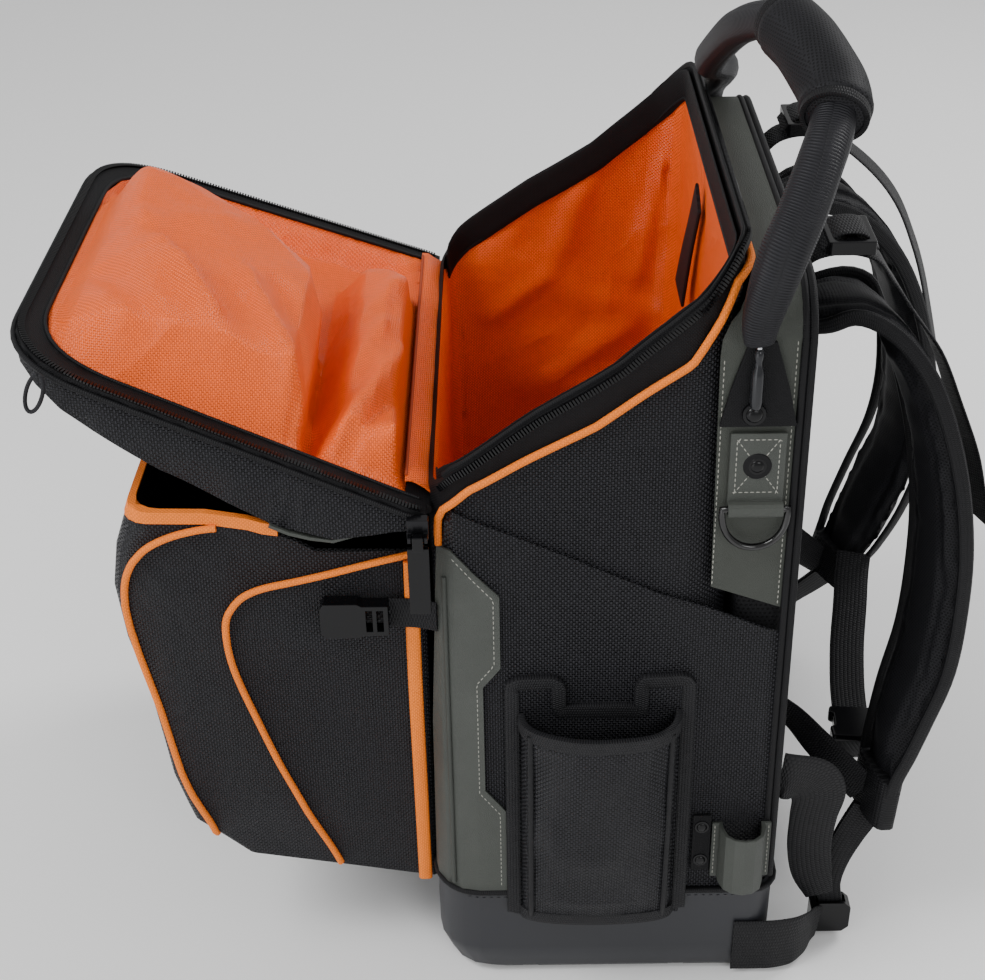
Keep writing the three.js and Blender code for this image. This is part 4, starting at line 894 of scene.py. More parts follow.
def mouth_path(out, drop, curve=ZIP_LINE, fold=42):
    """Round the mouth from its right front corner to its left, drawn out of the wall by out."""
    low, high = FRONT + FRONT_RADIUS, SHELL_BACK - MOUTH_RADIUS
    reach = FRONT_RADIUS + out
    turns = [math.radians(fold * (1 - k / 6)) for k in range(7)]
    spots = [(low - reach * math.sin(a), reach * math.cos(a) - FRONT_RADIUS) for a in turns]
    spots += [(low + (high - low) * k / MOUTH_SIDE_STEPS, out)
              for k in range(1, MOUTH_SIDE_STEPS)]
    reach = MOUTH_RADIUS + out
    turns = [math.radians(9 * k) for k in range(11)]
    spots += [(high + reach * math.sin(a), reach * math.cos(a) - MOUTH_RADIUS) for a in turns]
    right = []
    for y, aside in spots:
        z = height_on(curve, y) + drop
        right.append((half_width_at(z) + aside, y, z))
    inner, y, z = right[-1]
    half = right + [(inner * (1 - k / 6), y, z) for k in range(1, 6)]
    return half + [(0, y, z)] + mirrored(half[::-1], -1)


def draped(points, field):
    return [tuple(Vector(p) + field(Vector(p) * MM) / MM) for p in points]


dressed("body_cloth", "pack_shell", BALLISTIC, pack_drape, 9)
dressed("body_lining", "pack_lining", LINING, lining_drape, 5)
dressed("zip_tape", "mouth_band", FACING, pack_drape, 9)


def mouth_trim():
    """The piping under the mouth's zip, with both ends turned down at the front corners."""
    line = draped(mouth_path(2.55, 0.0, SEAM), pack_drape)
    ends = []
    for x, y, z in (line[0], line[-1]):
        ends.append([(x, y - 0.6, z - 20), (x, y - 0.8, z - 13), (x, y - 0.6, z - 7),
                     (x, y - 0.2, z - 2.5)])
    cordline("mouth_trim", ends[0] + line[1:-1] + ends[1][::-1], 2.3, TRIM,
             replaces=["mouth_piping"])


mouth_trim()
for side, _ in SIDES:
    dressed(f"side_pocket_{side}", f"slip_pocket_{side}", BALLISTIC, pack_drape, 9)
    dressed(f"front_patch_{side}", f"corner_patch_{side}", PATCH, pack_drape, 9)
YOKE_PIECE = dressed("shoulder_yoke", "yoke_panel", YOKE, pack_drape, 9)

# The band inside the mouth, and its zip teeth.
FACING_WIDTH = 19


def mouth_facing():
    inner = mouth_path(-LINING_FACE - 0.8, -FACING_WIDTH / 2 + 1.5, fold=86)
    strip("mouth_facing", draped(inner, pack_drape), (FACING_WIDTH, 1.4), (0, 0, 1), FACING)
    edge = mouth_path(-LINING_FACE - 1.0, -FACING_WIDTH + 1.5, fold=86)
    binding("mouth_facing_edge", draped(edge, pack_drape), 1.1)
    lip = draped(mouth_path(-SHELL_WALL / 2 - 0.9, 0.9), pack_drape)
    strip("mouth_lip", lip, (4.6, 2.2), (0, 0, 1), BINDING, ring_of(8))


def zip_teeth(name, points, normals, size=(1.15, 3.8, 2.0)):
    """Coil teeth: one small block at each point, across the line."""
    bm = bmesh.new()
    for i, (point, normal) in enumerate(zip(points, normals)):
        matrix = seated(Vector(point) * MM, normal, heading(points, i))
        matrix = matrix @ Matrix.Diagonal([part * MM for part in size] + [1])
        bmesh.ops.create_cube(bm, size=1, matrix=matrix)
    return finished(bm, name, GLOSS, slot="black_metal", sharp=30)


def outward_of(points, centre):
    return [Vector((p[0] - centre[0], (p[1] - centre[1]) * 1.4, 0)).normalized() for p in points]


mouth_facing()
TEETH_LINE = spaced(draped(mouth_path(1.0, -2.6), pack_drape), 1.9)
zip_teeth("mouth_teeth", TEETH_LINE, outward_of(TEETH_LINE, (0, -20)))

# Holster on the right side. Its frame has x out from the side, y back and z up the side.
SIDE_FRAME = Matrix.Translation((PACK_WIDTH / 2, 0, BASE_HEIGHT)) @ Matrix.Rotation(
    -math.atan(SIDE_SLOPE), 4, "Y")
HOLSTER_MIDDLE = FRONT + 0.47 * PACK_DEPTH
HOLSTER_LOW = -18
HOLSTER_HEIGHT = 180
HOLSTER_HALF = 51.5
CUP_HALF = 46.35
CUP_TOP = HOLSTER_LOW + 0.86 * HOLSTER_HEIGHT
NOTCH_HALF = 24
NOTCH_LOW = HOLSTER_LOW + 0.885 * HOLSTER_HEIGHT
SEWN_FACE = 3.1


def on_side(point):
    return tuple(SIDE_FRAME @ Vector(point))


def holster_cup():
    bm = merged("tool_holster")
    densify(bm, 6)
    back = SIDE_FRAME.inverted()
    gone = []
    for face in bm.faces:
        centre = back @ (face.calc_center_median() / MM)
        if centre.z > NOTCH_LOW and abs(centre.y - HOLSTER_MIDDLE) < NOTCH_HALF:
            gone.append(face)
    bmesh.ops.delete(bm, geom=gone, context="FACES")
    for v in bm.verts:
        here = back @ (v.co / MM)
        v.co += pack_drape(v.co)
        v.co.x += ease(here.x, 9, 26) * 1.6 * ripple(here.y * 0.04, here.z * 0.035, 2.0) * MM
    finished(bm, "side_holster", BALLISTIC, replaces=["tool_holster"])


def holster_bound(name, line, width, thick, way=None):
    """Binding along a line in the side's frame, its width across the edge it binds."""
    path = draped(line, pack_drape)
    rows = [Row(point, width, thick, way or heading(path, i).cross(Vector((1, 0, 0))))
            for i, point in enumerate(path)]
    finished(sweep(rows), f"holster_{name}", HOLSTER_TAPE)


def holster():
    holster_cup()
    for name, reach, level in (("rim", 32, CUP_TOP), ("foot", 11.5, HOLSTER_LOW + 3)):
        bow = []
        for k in range(25):
            angle = math.radians(-90 + 180 * k / 24)
            out = SEWN_FACE + reach * max(0.0, math.cos(angle)) ** 0.7
            bow.append(on_side((out - 1.2, HOLSTER_MIDDLE + CUP_HALF * math.sin(angle), level)))
        holster_bound(name, bow, 9, 4.2, (0, 0, 1))
    half = [(HOLSTER_HALF, HOLSTER_LOW + 2), (HOLSTER_HALF, 160), (HOLSTER_HALF - 4, 162),
            (NOTCH_HALF + 2, 162), (NOTCH_HALF, 158), (NOTCH_HALF, NOTCH_LOW)]
    edge = mirrored(half, -1) + half[::-1]
    path = [on_side((SEWN_FACE + 1.0, HOLSTER_MIDDLE + y, z)) for y, z in edge]
    holster_bound("edge", spaced(path, 4), 8.5, 4.4)
    for number, way in enumerate((-1, 1)):
        angle = math.radians(62) * way
        line = []
        for up, deep in ((0.02, 0.3), (0.12, 0.55), (0.45, 0.8), (0.86, 1.0)):
            out = SEWN_FACE + (30 * deep + 2) * math.cos(angle) ** 0.7 + 0.3
            line.append(on_side((out, HOLSTER_MIDDLE + CUP_HALF * math.sin(angle),
                                 HOLSTER_LOW + HOLSTER_HEIGHT * up)))
        cordline(f"holster_seam_{number + 1}", smooth_table(draped(line, pack_drape), 20), 1.9,
                 HOLSTER_TAPE)


holster()

# Rings, tabs, loop, link and anchors on the sides.
TAB_FACE = 2.4
BAR = (TAB_FACE + 2 + 0.7 + 1.8, FRONT + 0.87 * PACK_DEPTH,
       (0.704 * PACK_HEIGHT - BASE_HEIGHT) * math.hypot(1, SIDE_SLOPE))
RING_HALF = 18
RING_DROP = 24
RING_WIRE = 4


def d_ring(side, sign):
    bow = []
    for k in range(29):
        angle = math.pi * k / 28
        bow.append((BAR[0], BAR[1] + RING_HALF * math.cos(angle),
                    BAR[2] - RING_DROP * math.sin(angle) ** 0.8))
    bar = [(BAR[0], BAR[1] - RING_HALF + 2 * RING_HALF * k / 8, BAR[2]) for k in range(1, 8)]
    line = mirrored([on_side(p) for p in bow + bar], sign)
    strip(f"ring_{side}", line, (RING_WIRE, RING_WIRE), (1, 0, 0), RING_METAL, ROUND, True,
          body=f"{side}_ring", replaces=[f"d_ring_{side}"], sharp=80)


def tab_fixings(side, sign):
    """The crossed stitches, the washer and the rivet on a ring's tab."""
    tab = surface_of(NODES[f"ring_tab_{side}"])
    low, high = BAR[2] + 9, BAR[2] + 41
    near, far = BAR[1] - 11.5, BAR[1] + 11.5
    square = [(near, low), (far, low), (far, high), (near, high), (near, low)]
    lines = [square, [(near, low), (far, high)], [(far, low), (near, high)]]
    lines = [mirrored([on_side((10, a, b)) for a, b in line], sign) for line in lines]
    stitches(f"tab_stitches_{side}", tab, lines, (-sign, 0, 0), 3.2)
    middle = mirrored([on_side((10, BAR[1], (low + high) / 2))], sign)
    spot = laid(tab, middle, (-sign, 0, 0))
    rivet(f"tab_rivet_{side}", spot, 5.2)
    bm = bmesh.new()
    bmesh.ops.create_cone(bm, cap_ends=True, segments=24, radius1=8.2 * MM, radius2=7.4 * MM,
                          depth=1.0 * MM)
    bmesh.ops.transform(bm, matrix=seated(*spot[0], Vector((0, 0, 1))), verts=bm.verts)
    finished(bm, f"tab_washer_{side}", BINDING)


for side, sign in SIDES:
    d_ring(side, sign)
    keep_node(f"ring_tab_{side}", PATCH, 0.5)
    keep_node(f"handle_anchor_{side}", FACING, 0.6)
    tab_fixings(side, sign)


LINK_PROFILE = [(0, 4), (2.4, 4.4), (3.2, 6), (3.4, 9), (3.4, 24), (3.0, 27), (2.2, 29),
                (2.0, 32), (2.6, 34), (2.6, 37), (1.9, 39), (0, 39.6)]
LINK_Y = FRONT + 0.852 * PACK_DEPTH
LINK_Z = (0.818 * PACK_HEIGHT - BASE_HEIGHT) * math.hypot(1, SIDE_SLOPE)


def link():
    """The bright sleeve that is riveted to the right anchor, spun about its own axis."""
    bm = bmesh.new()
    spun(bm, LINK_PROFILE, 24)
    bmesh.ops.remove_doubles(bm, verts=bm.verts, dist=SPIN_WELD)
    bmesh.ops.recalc_face_normals(bm, faces=bm.faces)
    turn = Matrix.Rotation(-math.atan(SIDE_SLOPE), 4, "Y")
    start = Vector(on_side((TAB_FACE + 6.35, LINK_Y, LINK_Z)))
    bmesh.ops.transform(bm, matrix=Matrix.Translation(start * MM) @ turn, verts=bm.verts)
    finished(bm, "link_sleeve", SMOKE, replaces=["handle_link"], sharp=60)
    top = [on_side((TAB_FACE + 6.35, LINK_Y, LINK_Z + h)) for h in (38.5, 42, 46, 50)]
    cordline("link_wire", top, 1.5, STEEL, slot="bright_steel")
    spot = Vector(on_side((TAB_FACE + 3.2, LINK_Y, LINK_Z))) * MM
    rivet("link_rivet", [(spot, (SIDE_FRAME.to_3x3() @ Vector((1, 0, 0))).normalized())], 6.6, 3.2)


link()
keep_node("tool_loop", PATCH, 0.5)
keep_node("tool_loop_tab", FACING, 0.4)
LOOP_START = FRONT + 0.83 * PACK_DEPTH
LOOP_RIVETS = [on_side((10, LOOP_START - 10.5, z)) for z in (24, 50)]
rivet("loop_rivets", laid(surface_of(NODES["tool_loop_tab"]), LOOP_RIVETS, (-1, 0, 0)), 4.6)
LOOP_LINES = [[on_side((30, LOOP_START + y, z)) for z in (13, 51)] for y in (-2.4, 30.4)]
stitches("loop_stitches", surface_of(NODES["tool_loop"]), LOOP_LINES, (-1, 0, 0), 3.2)

# Carry handle. Columns: x, y, z, width, thickness, and the way the width runs.
HANDLE_PATH = [
    (161, 73, 446, 14, 7), (166, 72, 466, 20, 15), (165, 79, 497, 25, 23),
    (156, 89, 519, 25, 24), (142, 99, 541, 24, 24), (127, 106, 553, 23, 23),
    (108, 110, 562, 22, 22), (86, 105, 571, 22, 22), (64, 98, 578, 22, 22),
    (38, 88, 580, 21, 21), (4, 76, 566, 20, 20), (-38, 70, 541, 19, 19),
    (-75, 69.5, 519, 19, 19), (-105, 81, 506, 20, 19), (-136, 84, 491, 22, 19),
    (-163, 80, 470, 23, 15), (-161, 77, 446, 22, 7),
]
HANDLE_STEPS = 144
HANDLE_ACROSS = (0, 1, 0.15)
HANDLE_SEAT = 0.9 * PACK_HEIGHT + 1.0
GRIP_SPAN = (0.335, 0.555)
GRIP_RADIUS = 18.3


def handle():
    line = smooth_table(HANDLE_PATH, HANDLE_STEPS)
    rows = [Row(r[:3], r[3], r[4], HANDLE_ACROSS) for r in line if r[2] > HANDLE_SEAT]
    finished(sweep(rows, ring_of(16, 0.85)), "handle_tube", ROPE, replaces=["carry_handle"],
             sharp=80)
    first, last = [int(share * HANDLE_STEPS) for share in GRIP_SPAN]
    grip = []
    for i, r in enumerate(line[first:last + 1]):
        share = i / (last - first)
        swell = 0.74 + 0.26 * ease(min(share, 1 - share), 0, 0.09)
        size = 2 * GRIP_RADIUS * swell * (1 + 0.1 * (1 - ease(share, 0.0, 0.16)))
        grip.append(Row(r[:3], size, size * 0.97, HANDLE_ACROSS))
    piece = finished(sweep(grip, ring_of(28)), "grip_sleeve", FINE_MESH, replaces=["handle_grip"],
                     sharp=80)
    frames = frames_of(grip)
    for name, k in (("near", 1), ("far", len(grip) - 2)):
        middle, across, through, half = frames[k]
        tangent = heading([row.at for row in grip], k)
        ring = []
        for n in range(36):
            angle = math.tau * n / 36
            offset = across * math.cos(angle) + through * math.sin(angle)
            ring.append(Row(tuple(middle + offset * half), 6, 3, tangent))
        finished(sweep(ring, closed=True), f"grip_collar_{name}", BINDING)
    binding("grip_seam", [
        tuple(middle - (across * 0.2 - through * 0.98).normalized() * half)
        for middle, across, through, half in frames[2:-2]
    ], 1.3)


handle()

# Lid, folded forward. Its frame has x across, -y towards the tip and z up from the rim.
LID_FRAME = Matrix.Translation(LID_ORIGIN) @ Matrix.Rotation(-LID_TILT, 4, "X")
LID_BACK = LID_FRAME.inverted()


def curve_between(start, control, end, steps):
    made = []
    for k in range(1, steps + 1):
        t = k / steps
        made.append(tuple(
            (1 - t) ** 2 * a + 2 * t * (1 - t) * b + t * t * c
            for a, b, c in zip(start, control, end)
        ))
    return made


def lid_outline(inset, steps=12):
    """Half of the lid's rim, from the hinge to the middle of the tip, at positive x."""
    hinge = LID_HINGE_WIDTH / 2 - inset
    tip = LID_TIP_WIDTH / 2 - inset
    end = -LID_LENGTH + inset
    start = (tip, end * 0.76)
    corner = (tip - LID_LENGTH * 0.22, end)
    arc = curve_between(start, (tip - 3, end), corner, steps)
    return [(hinge, -4), (hinge, -10), start, *arc, (0, end)]


def lid_rim(inset, z, pitch=8):
    """Points round the lid's rim from one hinge end to the other, in the pack's frame."""
    half = lid_outline(inset)
    line = half + [(-x, y) for x, y in reversed(half[:-1])]
    return spaced([(x, y, z) for x, y in line], pitch)


def lid_drape(p):
    here = LID_BACK @ (p / MM)
    low = ease(-here.z, 2, 20)
    wave = ripple(here.x * 0.016, here.y * 0.02, 3.3)
    small = ripple(here.x * 0.04, here.y * 0.045, 7.1)
    out = math.copysign(1, here.x) * ease(abs(here.x), 120, 150)
    move = Vector((out * low * (1.6 + 1.6 * small), 0, low * (2.2 * wave + 1.0 * small)))
    return (LID_FRAME.to_3x3() @ move) * MM


# Creases in the lid's pocket. Columns: x, y, x, y of the ends in the lid's frame, height, width.
POCKET_CREASES = [
    (40, -186, 112, -142, 7.0, 8),
    (60, -212, 138, -160, -6.0, 8),
    (146, -84, 40, -136, 6.0, 7),
    (134, -72, 40, -112, -4.5, 6),
    (146, -116, 60, -172, 4.5, 9),
    (-30, -120, 20, -200, 3.0, 14),
    (140, -60, 30, -22, 6.0, 6),
    (144, -50, 60, -16, -6.0, 5),
    (110, -68, 12, -42, 5.0, 6),
    (40, -68, -50, -32, 4.5, 7),
    (146, -34, 90, -13, 5.0, 5),
]


# Far edge of the pocket's large fold. Columns: share of the lid's length, of its hinge width.
FOLD_EDGE = [(0.2, 0.5), (0.3, 0.02), (0.42, -0.13), (0.76, -0.29), (1.1, -0.29)]
VALLEY = 0.285


def fold_edge_at(share):
    for (v0, u0), (v1, u1) in zip(FOLD_EDGE, FOLD_EDGE[1:]):
        if share <= v1:
            return u0 + (max(share, v0) - v0) / (v1 - v0) * (u1 - u0)
    return FOLD_EDGE[-1][1]


POCKET_RIM = [(0, -12.5), (LID_HINGE_WIDTH / 2 - 12.5, -12.5), *lid_outline(12.5, 6)[2:]]


def rim_distance(x, y):
    here = Vector((x, y))
    nearest = 1000.0
    for a, b in zip(POCKET_RIM, POCKET_RIM[1:]):
        a, b = Vector(a), Vector(b)
        share = min(1, max(0, (here - a).dot(b - a) / (b - a).length_squared))
        nearest = min(nearest, (a.lerp(b, share) - here).length)
    return nearest


def pocket_drape(p):
    here = LID_BACK @ (p / MM)
    u = here.x / LID_HINGE_WIDTH
    v = -here.y / LID_LENGTH
    free = ease(rim_distance(abs(here.x), here.y), 1, 20)
    beyond = u - fold_edge_at(v)
    large = ease(beyond, 0.0, 0.045) * ease(v, VALLEY, VALLEY + 0.05)
    large *= ease(0.97 - v, 0.0, 0.13 + 0.12 * ease(u, -0.1, 0.3))
    small = ease(VALLEY - v, 0.0, 0.06) * ease(u, -0.3, -0.2)
    lift = 24 * large + 22 * small - 6 * (1 - max(large, small))
    lift += fold_height(here.x, here.y, POCKET_CREASES)
    broad = ripple(here.x * 0.018 + 2, here.y * 0.022, 1.7)
    fine = ripple(here.x * 0.045, here.y * 0.05 + 4, 8.2)
    lift = max(-6, lift + 3.0 * broad + 1.8 * abs(fine))
    return (LID_FRAME.to_3x3() @ Vector((0, 0, lift * free))) * MM


dressed("lid_cloth", "lid_shell", BALLISTIC, lid_drape, 7)
dressed("lid_rim_tape", "lid_band", FACING, None, 9)
POCKET = dressed("lid_pocket_cloth", "lid_pocket", LINING, pocket_drape, 4)


def on_lid(points):
    return [tuple(LID_FRAME @ Vector(p)) for p in points]


LID_UP = LID_FRAME.to_3x3() @ Vector((0, 0, 1))
LID_TEETH = on_lid(lid_rim(1.2, LID_BAND_TOP + 0.5, 1.9))
zip_teeth("lid_teeth", LID_TEETH, [LID_UP] * len(LID_TEETH), (1.15, 3.6, 1.8))
binding("lid_rim_cord", on_lid(lid_rim(-1.6, -1.0)), 1.7)
binding("lid_inner_seam", on_lid(lid_rim(12.2, LID_BAND_TOP + 0.2)), 1.2)
keep_node("lid_loop", PATCH, 0.4)


def lid_pull():
    """The cord loop on the lid's zip slider."""
    y = -LID_LENGTH * 0.885
    x = LID_TIP_WIDTH / 2 - 6.5
    loop = []
    for k in range(28):
        angle = k / 28 * math.tau
        loop.append((x + 9 + 1.5 * math.sin(angle), y - 5 + 4.5 * math.sin(angle),
                     -10 + 12 * math.cos(angle)))
    strip("lid_cord_loop", on_lid(loop), (2.4, 2.4), (1, -1, 0), ROPE, ROUND, True,
          replaces=["lid_pull"], sharp=80)


lid_pull()

# Front pouch.
POUCH_OUTLINE = [
    (0.69, 0.015), (0.745, 0.09), (0.79, 0.195), (0.85, 0.314), (0.9, 0.523),
    (0.945, 0.68), (0.955, 0.8), (0.915, 0.88), (0.83, 0.93), (0.68, 0.96), (0.5, 0.963),
]
POUCH_PANEL_LINE = [
    (0.035, 0.895), (0.36, 0.842), (0.53, 0.815), (0.61, 0.78), (0.645, 0.72), (0.625, 0.59),
    (0.54, 0.4), (0.46, 0.255), (0.37, 0.1), (0.33, 0.02),
]
POUCH_REAR_LINE = [(0.045, 0.006), (0.045, 0.3), (0.045, 0.6), (0.04, 0.88)]
POUCH_STRAP = [(164.2, -99.8, 278, 20.5), (160.6, -110.4, 278, 20.5),
               (159.6, -120.4, 278, 20.5), (159.6, -127.0, 278, 20.5)]


def pouch_drape(p):
    x, y, z = p / MM
    side = math.copysign(1, x)
    flank = ease(abs(x), 120, 150)
    deep = ease(-y, 128, 175) * (1 - ease(-y, 250, 284))
    tall = ease(z, 70, 130) * (1 - ease(z, 285, 330))
    wave = ripple(y * 0.014 + 9, z * 0.015, side * 2.2)
    small = ripple(y * 0.04 + 1, z * 0.036, side * 6.4)
    out = side * flank * deep * tall * (3.6 + 2.5 * wave + 1.0 * small)
    face = ease(-y, 225, 262) * (1 - ease(abs(x), 90, 150))
    forward = -face * tall * (2.5 + 3.0 * ripple(x * 0.013, z * 0.016, 5.5))
    sag = -2.5 * ease(z, 290, 318) * ease(-y, 190, 260) * (1 - ease(abs(x), 60, 145))
    under_lid = 8.5 * ease(z, 290, 318) * between(-y, 104, 192, 12) * ease(abs(x), 138, 150)
    return Vector((out, forward, sag + under_lid)) * MM


POUCH_SURFACE = surface_of(dressed("pouch_cloth", "pouch_shell", BALLISTIC, pouch_drape, 8))


def pouch_line(table, sign, steps):
    """A line on the pouch's side, laid on the cloth from outside."""
    line = [(sign * POUCH_HALF, POUCH_REAR - d * POUCH_DEPTH, POUCH_FLOOR + h * POUCH_HEIGHT)
            for d, h in table]
    spots = laid(POUCH_SURFACE, smooth_table(line, steps), (-sign, 0, 0), lift=1.3)
    return [tuple(place / MM) for place, _ in spots]


dressed("pouch_mouth_tape", "pouch_mouth_binding", TRIM, pouch_drape, 8)
for side, sign in SIDES:
    rear = [(x + sign, y, z) for x, y, z in pouch_line(POUCH_REAR_LINE, sign, 30)]
    strip(f"pouch_edge_tape_{side}", rear, (8.6, 4.6), (0, 1, 0), TRIM, ring_of(14, 0.75),
          replaces=[f"pouch_binding_{side}"], sharp=80)
    for name, table, steps in (("", POUCH_OUTLINE, 90), ("panel_", POUCH_PANEL_LINE, 70)):
        cordline(f"pouch_{name}trim_{side}", pouch_line(table, sign, steps), 2.2, TRIM,
                 replaces=[f"pouch_{name}piping_{side}"])
    keep_node(f"buckle_socket_{side}", GLOSS, 0.9)
    tape(f"pouch_strap_{side}", mirrored(POUCH_STRAP, sign), 12, (0, 0, 1),
         replaces=[f"buckle_strap_{side}"])

keep_node("zip_slider", ZIP_METAL, 0.6)
keep_node("zip_pull", GLOSS, 0.9, 3)

# Base and its bound seam.
dressed("base_shell", "base_tub", BASE, None, 30)


def base_ring(out, z, pitch=6):
    corners = [(1, BACK, 12), (-1, BACK, 12), (-1, FRONT, 24), (1, FRONT, 24)]
    line = []
    for quarter, (side, edge, radius) in enumerate(corners):
        inward = -1 if edge > 0 else 1
        for k in range(9):
            angle = (quarter + k / 8) * math.pi / 2
            line.append((side * (PACK_WIDTH / 2 - radius) + (radius + out) * math.cos(angle),
                         edge + inward * radius + (radius + out) * math.sin(angle), z))
    return spaced(line + line[:1], pitch)


binding("base_seam", base_ring(3.6, BASE_HEIGHT - 1.5), 2.2, closed=True)
BASE_STITCHES = [(Vector(p) * MM, (Vector((p[0], p[1] * 0.2, 0))).normalized())
                 for p in base_ring(3.2, BASE_HEIGHT - 7, 4.6) if abs(p[1]) < 88]
base_row = bmesh.new()
stitch_row(base_row, BASE_STITCHES)
finished(base_row, "base_stitches", DARK_THREAD, slot="moulded_base", sharp=80)

# Back panel, with a channel down the middle and two across.
BACK_CHANNELS = (186, 324)


def back_channels(bm):
    for v in bm.verts:
        x, y, z = v.co / MM
        face = ease(y, 92, 99) * (1 - ease(abs(x), 140, 165)) * between(z, 30, 462, 14)
        groove = bell(x, 9)
        for level in BACK_CHANNELS:
            groove = max(groove, bell(z - level - abs(x) * 0.12, 7))
        pillow = 1.6 * (1 - groove)
        v.co.y += face * (pillow - 4.5 * groove) * MM


filled("back_pad", "back_panel", MESH, 6.5, 3.0, back_channels)


def back_edge(offset, y):
    centre_z = 475 - 34
    centre_x = half_width_at(centre_z) - 34
    radius = 34 + offset
    side = [(half_width_at(z) + offset, y, z) for z in range(86, 436, 10)]
    arc = [(centre_x + radius * math.cos(a), y, centre_z + radius * math.sin(a))
           for a in [math.radians(10 * k) for k in range(1, 10)]]
    right = side + arc
    return right + mirrored(right[::-1], -1)


binding("back_edge_cord", back_edge(0.4, BACK - 1.2), 2.4)
binding("yoke_edge_cord", back_edge(0.9, 97.6), 2.2)

# Harness. Pads: x, y and z of the middle line, the width's turn in degrees, share of the width.
PADS = {
    "right": [
        (66, 111, 424, 0, 0.8), (74, 132, 431, 4, 1), (81, 147, 429, 7, 1),
        (89, 163, 414, 10, 1), (97, 177, 388, 13, 1), (104, 190, 345, 15, 1),
        (111, 197, 300, 16, 1), (117, 198, 258, 16, 1), (123, 195, 218, 15, 1),
        (129, 186, 182, 13, 0.95), (134, 180, 158, 12, 0.85), (138, 175, 138, 10, 0.75),
        (141, 173, 118, 10, 0.7),
    ],
    "left": [
        (-66, 111, 424, 0, 0.8), (-74, 138, 434, 2, 1), (-80, 164, 424, 5, 1),
        (-87, 190, 394, 10, 1), (-93, 207, 356, 15, 1), (-99, 218, 314, 20, 1),
        (-104, 225, 268, 25, 1), (-109, 224, 226, 30, 1), (-114, 214, 182, 35, 1),
        (-119, 203, 144, 38, 0.9), (-122, 197, 124, 38, 0.78), (-124, 192, 106, 38, 0.7),
    ],
}
PAD_WIDTH = 60
PAD_THICKNESS = 15


def pad_rows(side, steps, grow=0.0):
    made = []
    for x, y, z, turn, share in smooth_table(PADS[side], steps):
        angle = math.radians(turn)
        made.append(Row((x, y, z), PAD_WIDTH * share + grow,
                        PAD_THICKNESS * math.sqrt(max(0.01, share)) + grow,
                        (math.cos(angle), math.sin(angle), 0)))
    return made


def pad_shape(side):
    frames = frames_of(pad_rows(side, 90))

    def shape(bm):
        for v in bm.verts:
            here = v.co / MM
            middle, across, through, half = min(frames, key=lambda f: (f[0] - here).length_squared)
            offset = here - middle
            a = offset.dot(across)
            t = offset.dot(through)
            groove = bell(a + half * 0.5, 2.6) + bell(a - half * 0.5, 2.6)
            wide = 1 - ease(abs(a), half * 0.7, half)
            v.co -= through * math.copysign(1.7 * min(1.0, groove) * wide, t) * MM
            v.co += through * 0.8 * wide * noise.noise(here * 0.05) * MM
    return shape


for side, _ in SIDES:
    filled(f"shoulder_pad_{side}", f"pad_{side}", FINE_MESH, 5.0, 3.5, pad_shape(side))
    frames = [f for f in frames_of(pad_rows(side, 60)) if f[0].y > 112]
    for edge, way in (("outer", 1), ("inner", -1)):
        line = [Row(tuple(m + a * way * (half - 0.6)), 9.5, 4.0, tuple(t))
                for m, a, t, half in frames]
        finished(sweep(line, ring_of(10, 0.8)), f"pad_binding_{edge}_{side}", BINDING,
                 sharp=80)

LOAD_STRAPS = {
    "right": [
        (76, 104.6, 456, 0), (77, 115, 464, 0), (77, 131, 466, 0), (79, 146, 462, 0),
        (84, 156, 450, 2), (90, 168, 433, 5), (95, 183, 412, 8), (99, 196, 382, 11),
        (102, 209, 349, 14), (104, 217, 318, 15), (105, 222, 300, 15),
    ],
    "left": [
        (-76, 104.6, 462, 0), (-77, 115, 471, 0), (-77, 131, 474, 0), (-79, 150, 468, 0),
        (-84, 178, 445, -6), (-88, 198, 420, -10), (-92, 213, 389, -12),
        (-94, 223, 362, -14), (-96, 232, 330, -16), (-97, 240, 300, -16),
    ],
}
WEB_WAY = (0, 1, 0)
BASE_FACE = 186.25
BASE_STRAP = [
    (BASE_FACE, 82, 26, 44), (BASE_FACE, 98, 26, 44), (BASE_FACE - 0.6, 110, 26, 44),
    (182, 122, 25, 42), (174, 131, 22, 36), (165, 137, 20, 30), (159.5, 142, 18, 24),
]
SIDE_STRAP = [
    (170, 105.2, 158, 36, 0, 0, 1), (171, 112, 157, 36, 0, 0.1, 1),
    (168, 124, 151, 36, 0, 0.5, 0.87), (165, 131, 137, 34, 0, 0.9, 0.4),
    (163, 130, 116, 30, 0, 1, 0), (161, 130, 90, 28, 0, 1, -0.1),
    (159, 134, 64, 26, 0, 1, -0.2), (158, 141, 42, 18, 0, 1, -0.3),
]
PAD_WEBS = {
    "right": [
        (143, 169, 103, 22), (147, 159, 86, 20), (150, 151, 66, 18),
        (151, 148, 45, 16), (150, 151, 26, 16), (150, 151, 12, 16),
    ],
    "left": [
        (-126, 188, 92, 22), (-134, 176, 74, 20), (-143, 162, 54, 18),
        (-149, 153, 36, 16), (-150, 151, 26, 16), (-150, 151, 12, 16),
    ],
}
PAD_TIES = {
    "right": [
        (112, 104.4, 171, 25, 0.5, 0, 1), (118, 121, 159, 25, 0.4, 0.2, 1),
        (127, 135, 146, 25, 0.3, 0.4, 1), (134, 147, 135, 24, 0.2, 0.5, 1),
        (141, 165, 118, 22, 0, 0.6, 1),
    ],
    "left": [
        (-112, 104.4, 171, 25, -0.5, 0, 1), (-115, 122, 158, 25, -0.4, 0.2, 1),
        (-119, 144, 140, 25, -0.3, 0.4, 1), (-122, 166, 120, 24, -0.2, 0.5, 1),
        (-124, 184, 104, 22, 0, 0.6, 1),
    ],
}
